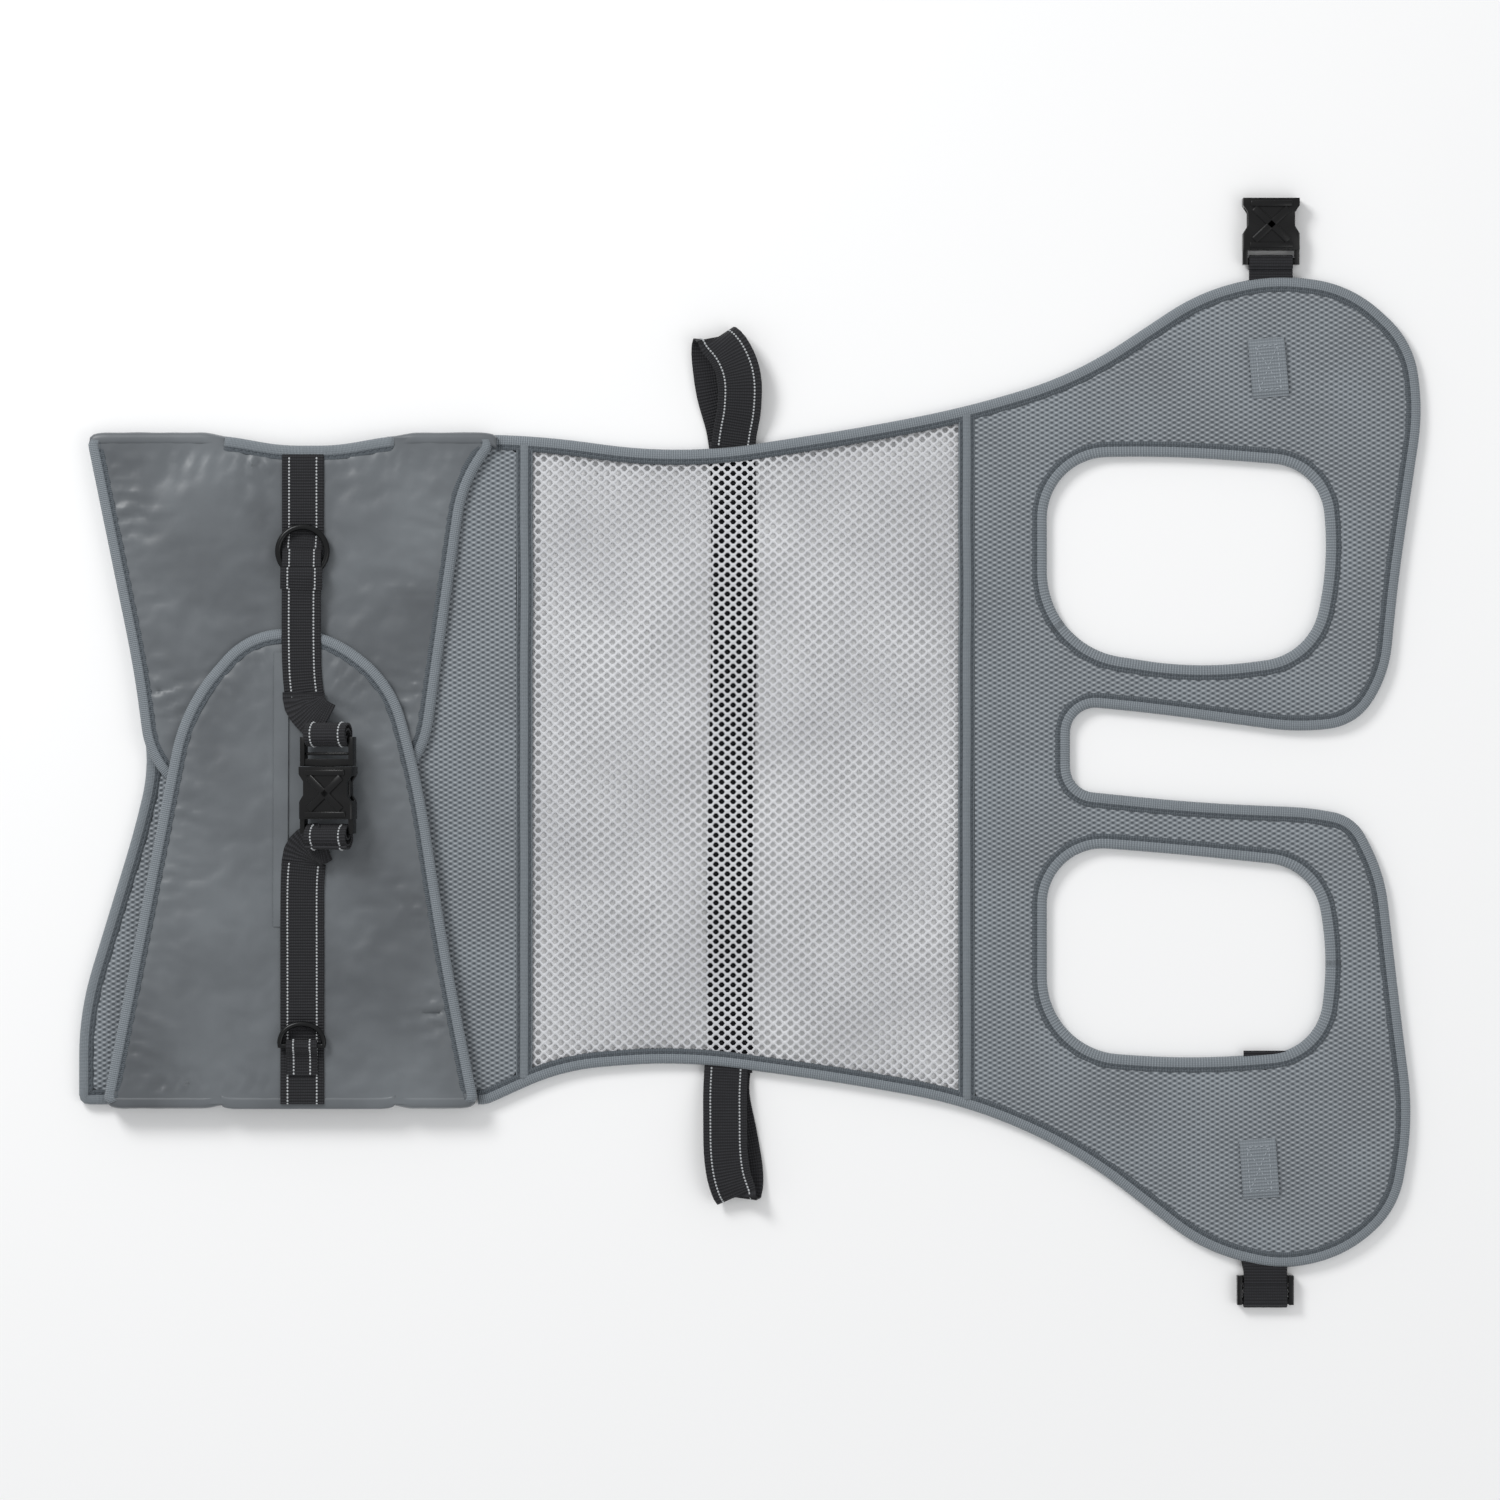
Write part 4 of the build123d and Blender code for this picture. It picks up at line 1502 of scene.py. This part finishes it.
# ---- Webbing ------------------------------------------------------------------
@dataclass
class Webbing:
    """A length of black webbing with reflective lines sewn along it."""

    name: str
    points: Sequence[tuple[float, float, float]]
    body: str
    nodes: Sequence[str] = ()
    sides: Sequence[tuple[float, float, float]] | None = None
    width: float = 24.0 * MM
    thickness: float = 1.2 * MM
    line_inset: float = 4.0 * MM
    faces: Sequence[int] = (1,)
    step: float = 3.0 * MM
    blend_to: tuple | None = None

    def build(self) -> None:
        """Makes the webbing and its stitched lines."""
        anchors = [Vector(p) * MM for p in self.points]
        path = smooth_path(anchors, self.step)
        sides = [ALONG_X] * len(path)
        if self.sides:
            reached = np.cumsum([0.0] + [(b - a).length for a, b in zip(anchors, anchors[1:])])
            walked = np.cumsum([0.0] + [(b - a).length for a, b in zip(path, path[1:])])
            shares = walked / walked[-1] * reached[-1]
            turned = [np.interp(shares, reached, axis) for axis in zip(*self.sides)]
            sides = [Vector(parts).normalized() for parts in zip(*turned)]
        strap = ribbon(self.name, path, sides, self.width, self.thickness, WEBBING)
        lines, ups = [], []
        for face in self.faces:
            for way in (-1, 1):
                line, up = [], []
                for i, point in enumerate(path):
                    before, after = path[max(0, i - 1)], path[min(len(path) - 1, i + 1)]
                    forward = (after - before).normalized()
                    side = (sides[i] - forward * sides[i].dot(forward)).normalized()
                    normal = side.cross(forward) * face
                    offset = side * way * (self.width / 2 - self.line_inset)
                    line.append(point + offset + normal * (self.thickness / 2 + 0.02 * MM))
                    up.append(normal)
                lines.append(line)
                ups.append(up)
        sewn = [
            stitches(f"{self.name}_line_{k}", [line], up, REFLECTIVE, *REFLECTIVE_STITCH)
            for k, (line, up) in enumerate(zip(lines, ups), 1)
        ]
        if self.blend_to:
            for piece in (strap, *sewn):
                place_blended(piece)
            return
        place(strap, self.body, "black_webbing", self.nodes)
        for piece in sewn:
            place(piece, self.body, "black_webbing")


@dataclass
class WebRoll:
    """The spare webbing rolled round a buckle's bar."""

    node: str
    body: str
    buckle: "BuckleFrame"
    turns: float = 2.6
    first_radius: float = 2.9 * MM
    last_radius: float = 6.6 * MM
    offset: float = 3.6 * MM
    width: float = 24.5 * MM
    thickness: float = 1.15 * MM
    start_angle: float = 0.0

    def build(self) -> None:
        """Winds the roll as one spiral, with a reflective line near each edge."""
        across, away, up = self.buckle.across, -self.buckle.along, self.buckle.up
        path = []
        steps = round(self.turns * 28)
        for i in range(steps + 1):
            share = i / steps
            angle = self.start_angle + share * self.turns * math.tau
            radius = self.first_radius + (self.last_radius - self.first_radius) * share
            centre = self.buckle.origin + away * (self.offset * min(1.0, 1.6 * share))
            path.append(centre + (away * math.cos(angle) + up * math.sin(angle)) * radius)
        roll = ribbon(f"{self.node}_wound", path, across, self.width, self.thickness, WEBBING)
        place(roll, self.body, "black_webbing", [self.node])
        tail = path[-34:]
        lines, normals = [], []
        middle = self.buckle.origin + away * self.offset
        for way in (-1, 1):
            line, up_line = [], []
            for point in tail:
                normal = (point - middle).normalized()
                shifted = point + across * way * (self.width / 2 - 4 * MM)
                line.append(shifted + normal * self.thickness / 2)
                up_line.append(normal)
            lines.append(line)
            normals.append(up_line)
        for k, (line, up_line) in enumerate(zip(lines, normals), 1):
            name = f"{self.node}_line_{k}"
            sewn = stitches(name, [line], up_line, REFLECTIVE, *REFLECTIVE_STITCH)
            place(sewn, self.body, "black_webbing")


# ---- Buckles and rings --------------------------------------------------------
@dataclass
class BuckleFrame:
    """Where a buckle half lies: its webbing bar, and the way its mouth or prongs point."""

    origin: Vector
    along: Vector
    tilt: float = 0.0

    @property
    def across(self) -> Vector:
        """The direction of the webbing bar."""
        return Vector((math.cos(self.tilt), 0, math.sin(self.tilt)))

    @property
    def up(self) -> Vector:
        """The direction out of the buckle's upper face."""
        return Vector((-math.sin(self.tilt), 0, math.cos(self.tilt)))

    def matrix(self) -> Matrix:
        """Turns buckle coordinates, with the bar on X and the mouth on +Y, to places."""
        turned = Matrix((self.across, self.along, self.up)).transposed().to_4x4()
        return Matrix.Translation(self.origin) @ turned


@dataclass
class Moulding:
    """A moulded buckle piece: the frame's shape with rounded edges and raised ribs."""

    node: str
    body: str
    frame: BuckleFrame
    ribs: Sequence[tuple[Point, Point, float, float, float]] = ()
    edge: float = 0.7 * MM

    def rib(
        self, start: Point, end: Point, width: float, low: float, high: float
    ) -> bpy.types.Object:
        """Adds one rib with rounded ends.

        Args:
            start: Where it starts, in millimetres in the buckle's frame.
            end: Where it ends.
            width: Its width.
            low: Its lower face.
            high: Its upper face.

        Returns:
            The rib, in place.
        """
        deselect()
        length = math.dist(start, end)
        bpy.ops.mesh.primitive_cube_add(size=1.0)
        bar = bpy.context.active_object
        turn = math.atan2(end[1] - start[1], end[0] - start[0])
        middle = Vector(((start[0] + end[0]) / 2, (start[1] + end[1]) / 2, (low + high) / 2))
        size = Matrix.Diagonal((length * MM, width * MM, (high - low) * MM, 1))
        spin = Matrix.Rotation(turn, 4, "Z")
        shift = Matrix.Translation(middle * MM)
        bar.data.transform(self.frame.matrix() @ shift @ spin @ size)
        finish_with(bar, "BEVEL", width=min(width, high - low) * 0.3 * MM, segments=2)
        bar.data.materials.append(ACETAL.make())
        return bar

    def build(self) -> None:
        """Rounds the frame's own shape and adds the ribs to it."""
        mesh = frame["nodes"][self.node].data.copy()
        mesh.materials.clear()
        mesh.materials.append(ACETAL.make())
        piece = bpy.data.objects.new(f"{self.node}_moulded", mesh)
        bpy.context.scene.collection.objects.link(piece)
        mesh.polygons.foreach_set("material_index", [0] * len(mesh.polygons))
        activate(piece)
        bpy.ops.object.mode_set(mode="EDIT")
        bpy.ops.mesh.select_all(action="SELECT")
        bpy.ops.mesh.remove_doubles(threshold=0.005 * MM)
        bpy.ops.mesh.dissolve_limited(angle_limit=math.radians(3))
        bpy.ops.mesh.normals_make_consistent(inside=False)
        bpy.ops.object.mode_set(mode="OBJECT")
        finish_with(
            piece,
            "BEVEL",
            width=self.edge,
            segments=2,
            limit_method="ANGLE",
            angle_limit=math.radians(35),
            use_clamp_overlap=True,
        )
        bars = [self.rib(*r) for r in self.ribs]
        deselect()
        for bar in bars:
            bar.select_set(True)
        piece.select_set(True)
        bpy.context.view_layer.objects.active = piece
        if bars:
            bpy.ops.object.join()
        activate(piece)
        bpy.ops.object.shade_smooth_by_angle(angle=math.radians(35))
        place(piece, self.body, "buckle_plastic", [self.node])


@dataclass
class Ring:
    """The O-ring that the two chest straps meet at."""

    node: str = "o_ring"
    wire: float = 1.7 * MM

    def build(self) -> None:
        """Adds the ring as a torus at its place."""
        low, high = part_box(self.node)
        middle = [(a + b) / 2 for a, b in zip(low, high)]
        deselect()
        bpy.ops.mesh.primitive_torus_add(
            major_radius=(high[0] - low[0]) / 2 - self.wire,
            minor_radius=self.wire,
            major_segments=96,
            minor_segments=20,
            location=middle,
        )
        ring = bpy.context.active_object
        ring.name = "o_ring_steel"
        bpy.ops.object.transform_apply(location=True, rotation=True, scale=True)
        bpy.ops.object.shade_smooth()
        ring.data.materials.append(STEEL.make())
        place(ring, "o_ring", "ring_metal", [self.node])


@dataclass
class DRing:
    """The D-ring on the lower chest strap: a straight bar and a bow of one wire."""

    node: str = "d_ring"
    wire: float = 1.5 * MM

    def build(self) -> None:
        """Bends the wire as a closed curve, then makes it a mesh."""
        low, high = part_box(self.node)
        half = (high[0] - low[0]) / 2 - self.wire
        middle, level = (low[0] + high[0]) / 2, (low[2] + high[2]) / 2
        bar, far = low[1] + self.wire, high[1] - self.wire
        curve = bpy.data.curves.new("d_ring_wire", "CURVE")
        curve.dimensions = "3D"
        curve.bevel_depth = self.wire
        curve.bevel_resolution = 5
        spline = curve.splines.new("POLY")
        bow = [
            (middle + half * math.cos(a), bar + (far - bar) * math.sin(a) ** 0.8)
            for a in np.linspace(0, math.pi, 41)
        ]
        straight = [(middle - half + 2 * half * s, bar) for s in np.linspace(0.08, 0.92, 9)]
        points = bow + straight
        spline.points.add(len(points) - 1)
        for point, (x, y) in zip(spline.points, points):
            point.co = (x, y, level, 1)
        spline.use_cyclic_u = True
        wire = bpy.data.objects.new("d_ring_steel", curve)
        bpy.context.scene.collection.objects.link(wire)
        activate(wire)
        bpy.ops.object.convert(target="MESH")
        ring = bpy.context.active_object
        turn_out(ring)
        ring.data.materials.clear()
        ring.data.materials.append(STEEL.make())
        activate(ring)
        bpy.ops.object.shade_smooth()
        place(ring, "d_ring", "ring_metal", [self.node])


@dataclass
class LobeTab:
    """A webbing patch on a lobe, sewn down with a crossed box."""

    node: str
    turn: float
    inset: float = 4.0 * MM

    def build(self) -> None:
        """Makes the patch and its stitches."""
        low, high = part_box(self.node)
        x, y = (low[0] + high[0]) / 2, (low[1] + high[1]) / 2
        width, length = high[0] - low[0], high[1] - low[1]
        base, top = low[2] + 0.35 * MM, high[2] + 0.9 * MM
        lean = Vector((math.sin(self.turn), math.cos(self.turn), 0))
        side = Vector((lean.y, -lean.x, 0))
        path = []
        for s in np.linspace(-0.5, 0.5, 21):
            rise = base + (top - base) * min(1, 9 * (0.5 - abs(s)))
            path.append(Vector((x, y, rise)) + lean * length * s)
        patch = ribbon(f"{self.node}_webbing", path, side, width, 1.1 * MM, TAB)
        place(patch, "carrier_base", "tab_webbing", [self.node])
        a, b = width / 2 - self.inset, length / 2 - self.inset
        corners = [
            Vector((x, y, top + 0.5 * MM)) + side * u + lean * v
            for u, v in ((-a, -b), (a, -b), (a, b), (-a, b))
        ]
        pairs = [(0, 1), (1, 2), (2, 3), (3, 0), (0, 2), (1, 3)]
        lines = [[corners[i], corners[j]] for i, j in pairs]
        sewn = stitches(f"{self.node}_stitches", lines, UP, TAB_THREAD, *TAB_STITCH)
        place(sewn, "carrier_base", "tab_webbing")


# ---- Stage --------------------------------------------------------------------
@dataclass
class Studio:
    """A pale table top, soft lights above it, and a camera straight over it."""

    floor_size: float = 12.0
    field_width: float = 0.825
    lens: float = 135.0
    sensor: float = 36.0
    centre_y: float = 0.00165

    def build(self) -> None:
        """Sets up the table, the lights and the camera."""
        deselect()
        bpy.ops.mesh.primitive_plane_add(size=self.floor_size, location=(0, 0, 0))
        table = bpy.context.active_object
        table.name = "table_top"
        table.data.materials.append(Finish("pale_laminate", "#fafafa", 0.7).make())
        world = bpy.data.worlds.new("studio")
        bpy.context.scene.world = world
        world.use_nodes = True
        bpy.context.scene.view_settings.view_transform = "Standard"
        backdrop = world.node_tree.nodes["Background"]
        backdrop.inputs["Color"].default_value = colour("#f8f9fa")
        backdrop.inputs["Strength"].default_value = 0.62
        for name, spot, size, power in (
            ("key_light", (-1.3, 1.5, 1.6), 0.8, 34),
            ("fill_light", (1.5, -0.6, 1.9), 1.4, 8),
        ):
            light = bpy.data.lights.new(name, "AREA")
            light.size = size
            light.energy = power
            lamp = bpy.data.objects.new(name, light)
            lamp.location = spot
            aim = (-Vector(spot)).to_track_quat("-Z", "Y")
            lamp.rotation_euler = aim.to_euler()
            bpy.context.scene.collection.objects.link(lamp)
        lens = bpy.data.cameras.new("camera")
        lens.lens = self.lens
        lens.sensor_width = self.sensor
        lens.clip_end = 50
        camera = bpy.data.objects.new("camera", lens)
        distance = self.field_width * self.lens / self.sensor
        camera.location = (0, self.centre_y, distance)
        bpy.context.scene.collection.objects.link(camera)
        bpy.context.scene.camera = camera


# ---- The harness --------------------------------------------------------------
def build_base() -> None:
    """The panels, open mesh, tapes and tabs that make the base."""
    BasePanel("chest", swell=0.2 * MM).build()
    BasePanel("hip", swell=0.7 * MM).build()
    BellyMesh().build()
    folds = [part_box(f"{s.word}_flap_binding") for s in Side]
    upper_fold, lower_fold = folds[0][1][1], folds[1][0][1]
    upper_ends = (folds[0][0][0] + 5 * MM, -147 * MM)
    lower_ends = (folds[1][0][0] + 3 * MM, -151 * MM)

    def on_fold(x: float, y: float) -> bool:
        """Whether an edge point is on a fold, where there is no tape."""
        upper = y > upper_fold - 0.8 * MM and upper_ends[0] < x < upper_ends[1]
        lower = y < lower_fold + 0.8 * MM and lower_ends[0] < x < lower_ends[1]
        return upper or lower

    zones = [f"{p}_{s.word}_binding" for p in ("chest", "window", "hip") for s in Side]
    BindingTape("body", zones, skip=on_fold).build()
    for side in Side:
        BindingTape(f"{side.word}_leg", [f"{side.word}_leg_binding"], free_edge=1).build()
    for node in ("front_seam_tape", "rear_seam_tape"):
        SeamTape(node).build()
    LobeTab("upper_lobe_tab", math.radians(-5)).build()
    LobeTab("lower_lobe_tab", math.radians(-4)).build()


def build_flaps() -> None:
    """Both chest flaps with their tapes and the skins of their folds."""
    upper_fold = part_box("upper_flap_binding")[1][1]
    lower_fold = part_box("lower_flap_binding")[0][1]
    cover = outlines_of(["lower_flap_shell", "lower_flap_binding"])[:1]
    edge = 9 * MM

    def upper_bound(x: float, y: float) -> bool:
        """Whether the upper flap's nearest edge is taped."""
        return y < upper_fold - edge or -288 * MM < x < -196 * MM

    def lower_bound(_x: float, y: float) -> bool:
        """Whether the lower flap's nearest edge is taped."""
        return y > lower_fold + edge

    Flap(Side.UPPER, upper_bound, seed=2, covered=cover).build()
    Flap(Side.LOWER, lower_bound, seed=7).build()
    BindingTape(
        "upper_flap",
        ["upper_flap_binding"],
        "upper_flap",
        skip=lambda x, y: y > upper_fold - 0.35 * MM,
    ).build()
    BindingTape(
        "lower_flap",
        ["lower_flap_binding"],
        "lower_flap",
        skip=lambda x, y: y < lower_fold + 0.8 * MM,
    ).build()
    FoldSkin(Side.UPPER, [(-0.362, -0.285), (-0.199, -0.139)]).build_all()
    FoldSkin(Side.LOWER, [(-0.352, -0.284), (-0.200, -0.151)], (-0.290, -0.194)).build_all()


def build_pleat() -> None:
    """The pressed tuck beside the strap on the lower flap."""
    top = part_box("lower_flap_shell")[1][2] / MM
    path = []
    for share in np.linspace(0, 1, 40):
        rise = top + 0.45 * min(1, 12 * share, 12 * (1 - share))
        path.append(Vector((-256.4 - 0.6 * share, 55 - 150 * share, rise)) * MM)
    tuck = ribbon("lower_flap_tuck", path, Vector((1, 0, 0.02)), 8.4 * MM, 1.3 * MM, NYLON)
    place(tuck, "lower_flap", "nylon_shell")


def build_straps() -> None:
    """The chest, belly and lobe webbing."""
    x = -245.0
    Webbing(
        "upper_chest_strap",
        [
            (x - 0.5, 103.5, 13.6),
            (x - 0.5, 108, 13.9),
            (x - 0.3, 114, 12.9),
            (x, 120, 11.7),
            (x, 130, 11.35),
            (x, 150, 11.35),
            (x, 158, 11.3),
            (x, 163.5, 10.5),
        ],
        "upper_flap",
        ["upper_flap_strap"],
        width=23 * MM,
    ).build()
    Webbing(
        "chest_strap_return",
        [
            (x - 0.5, 89.5, 17.3),
            (x - 0.4, 93.5, 18.2),
            (x - 0.3, 97.4, 19.0),
            (x - 0.3, 101.5, 18.5),
        ],
        "lower_flap",
        width=23 * MM,
    ).build()
    Webbing(
        "free_chest_strap",
        [
            (x + 1.5, 29, 16.2),
            (x, 42, 16.0),
            (x - 0.5, 60, 16.0),
            (x - 0.5, 84, 16.3),
            (x - 0.3, 92, 17.2),
            (x - 0.3, 97.4, 17.9),
            (x - 0.3, 102.5, 17.3),
            (x - 0.3, 107.5, 16.0),
            (x - 0.3, 111.5, 14.6),
        ],
        "lower_flap",
        ["free_strap"],
        width=21.5 * MM,
    ).build()
    Webbing(
        "lower_chest_strap",
        [(x, -190, 15.9), (x, -186, 15.9), (x, -120, 15.9), (x, -75, 16.0), (x + 1, -60, 16.6)],
        "lower_flap",
        ["lower_flap_strap"],
    ).build()
    Webbing(
        "d_ring_keeper",
        [
            (x, -176, 17.2),
            (x, -168, 17.3),
            (x, -163.5, 19.0),
            (x, -161.8, 21.4),
            (x, -160, 22.3),
            (x, -158.0, 21.4),
            (x, -157.4, 19.6),
            (x, -158.6, 17.6),
        ],
        "lower_flap",
        ["d_ring_tab"],
        width=17 * MM,
    ).build()
    belly = ribbon(
        "belly_webbing",
        [Vector((-10 + 1.2 * math.sin(y / 60), y, 0.7)) * MM for y in range(-169, 164, 4)],
        ALONG_X,
        25 * MM,
        1.2 * MM,
        WEBBING,
    )
    place(belly, "carrier_base", "black_webbing", ["belly_strap"])
    Webbing(
        "upper_lobe_webbing",
        [
            (286, 166, 4.55),
            (286, 200, 4.55),
            (286, 262, 4.6),
            (286, 266, 6.3),
            (286, 269.5, 7.7),
            (286, 272.6, 5.9),
            (286, 272.4, 3.4),
            (286, 269.5, 1.95),
            (286, 265.5, 2.6),
        ],
        "carrier_base",
        ["upper_lobe_strap"],
        faces=(),
    ).build()
    Webbing(
        "lower_lobe_webbing",
        [
            (283, -297, 1.3),
            (283, -301.4, 0.95),
            (283, -303.8, 2.8),
            (283, -303.6, 5.2),
            (283, -301, 6.7),
            (283, -297, 6.1),
            (283, -292, 4.7),
            (283, -280, 4.55),
            (283, -163.5, 4.55),
        ],
        "carrier_base",
        ["lower_lobe_strap"],
        faces=(),
    ).build()


def build_handles() -> None:
    """The two carrying handles, each one loop of webbing that has slumped to a side."""
    Webbing(
        "upper_handle_webbing",
        [
            (-9.3, 168, 3.6),
            (-8, 177, 5.5),
            (-6, 188, 9),
            (-5.5, 202, 12),
            (-7.5, 212, 12.6),
            (-12, 221, 12),
            (-16.5, 226, 10.2),
            (-19, 227.6, 7.2),
            (-20, 224, 4.6),
            (-20, 216, 3.8),
            (-17.5, 198, 3),
            (-12.5, 180, 1.6),
            (-10.5, 168, 1.4),
        ],
        "upper_handle",
        ["upper_handle"],
        [(1, 0, 0)] * 4
        + [(0.99, 0.1, 0), (0.96, 0.25, 0), (0.95, 0.31, 0), (0.95, 0.31, 0)]
        + [(0.96, 0.28, 0), (0.98, 0.18, 0), (1, 0.05, 0), (1, 0, 0), (1, 0, 0)],
    ).build()
    Webbing(
        "lower_handle_webbing",
        [
            (-11.5, -171.5, 1.4),
            (-12.2, -188, 1.5),
            (-8, -210, 2),
            (-5, -228, 2.6),
            (-4.8, -238, 3.6),
            (-6.5, -243.6, 6.6),
            (-8.8, -240.5, 9.6),
            (-11.8, -231, 10.8),
            (-13.4, -218, 10.6),
            (-13.7, -200, 9),
            (-13.7, -186, 6.4),
            (-13, -171.5, 3.8),
        ],
        "lower_handle",
        ["lower_handle"],
        [(1, 0, 0)] * 4 + [(0.99, 0.12, 0)] * 4 + [(1, 0, 0)] * 4,
    ).build()


def build_handle_roots() -> None:
    """The ends of the handles' webbing, sewn between the belly webbing and the tape."""
    for side in Side:
        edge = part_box(f"{side.word}_handle")[0 if side is Side.UPPER else 1][1]
        path = [
            Vector((-10.5 * MM, edge + side.value * out * MM, 2.5 * MM))
            for out in (-9, -5, -1, 1.2)
        ]
        name = f"{side.word}_handle_root"
        root = ribbon(name, path, ALONG_X, 23.5 * MM, 2.8 * MM, WEBBING)
        place(root, "carrier_base", "black_webbing")


def build_buckles() -> None:
    """The closed centre buckle with its rolled webbing, and the two lobe halves."""
    tilt = math.radians(18)
    socket = BuckleFrame(Vector((-230, -42, 27.6)) * MM, Vector((0, 1, 0)), tilt)
    plug = BuckleFrame(Vector((-230, 6.8, 27.6)) * MM, Vector((0, -1, 0)), tilt)
    lobe_socket = BuckleFrame(Vector((286, 270, 4.8)) * MM, Vector((0, 1, 0)))
    lobe_plug = BuckleFrame(Vector((283, -301, 3.8)) * MM, Vector((0, 1, 0)))
    cross = [
        ((-9.5, 11.0), (9.5, 29.0), 4.2, 3.7, 5.5),
        ((-9.5, 29.0), (9.5, 11.0), 4.2, 3.7, 5.5),
        ((-11.5, 31.4), (11.5, 31.4), 3.4, 3.7, 5.6),
        ((-12.0, 8.6), (12.0, 8.6), 3.2, 3.7, 5.4),
    ]
    Moulding("centre_socket", "lower_flap", socket, cross).build()
    Moulding("lobe_socket", "lobe_socket", lobe_socket, cross).build()
    bar = [((-12.5, 7.2), (12.5, 7.2), 1.6, -1.4, 1.6)]
    Moulding("centre_plug", "centre_plug", plug, bar).build()
    Moulding("lobe_plug", "lobe_plug", lobe_plug, bar).build()
    for buckle, at in (("centre", plug), ("lobe", lobe_plug)):
        for way in ("left", "right"):
            Moulding(f"{buckle}_plug_{way}_arm", f"{buckle}_{way}_latch", at).build()
    WebRoll("socket_web_roll", "lower_flap", socket, start_angle=math.pi).build()
    WebRoll("plug_web_roll", "centre_plug", plug, start_angle=0.6).build()
    Ring().build()
    DRing().build()
    Webbing(
        "plug_riser",
        [
            (-244.2, 33, 16.9),
            (-243.8, 27.5, 17.9),
            (-240, 22, 20.0),
            (-235.5, 18.0, 23.0),
            (-231.5, 16.2, 25.2),
        ],
        "lower_flap",
        sides=[
            (1, 0.05, 0),
            (0.9, 0.42, 0.1),
            (0.75, 0.62, 0.22),
            (0.8, 0.5, 0.3),
            (0.95, 0.1, 0.31),
        ],
        width=23 * MM,
        faces=(),
        blend_to=("centre_plug", (-0.244, 0.031, 0.0168), (-0.236, 0.0185, 0.0225)),
    ).build()
    Webbing(
        "socket_riser",
        [
            (-245, -62, 16.3),
            (-244.5, -56, 17.6),
            (-241, -51.5, 20.2),
            (-236, -49.6, 22.6),
            (-231.5, -49.2, 24.6),
        ],
        "lower_flap",
        sides=[
            (1, -0.1, 0),
            (0.88, -0.45, 0.12),
            (0.8, -0.55, 0.25),
            (0.85, -0.4, 0.3),
            (0.95, -0.1, 0.31),
        ],
        width=23 * MM,
        faces=(),
    ).build()


def main() -> None:
    """Builds the harness and its studio."""
    build_base()
    build_flaps()
    build_pleat()
    build_straps()
    build_handles()
    build_handle_roots()
    build_buckles()
    Studio().build()


if __name__ == "__main__":
    main()
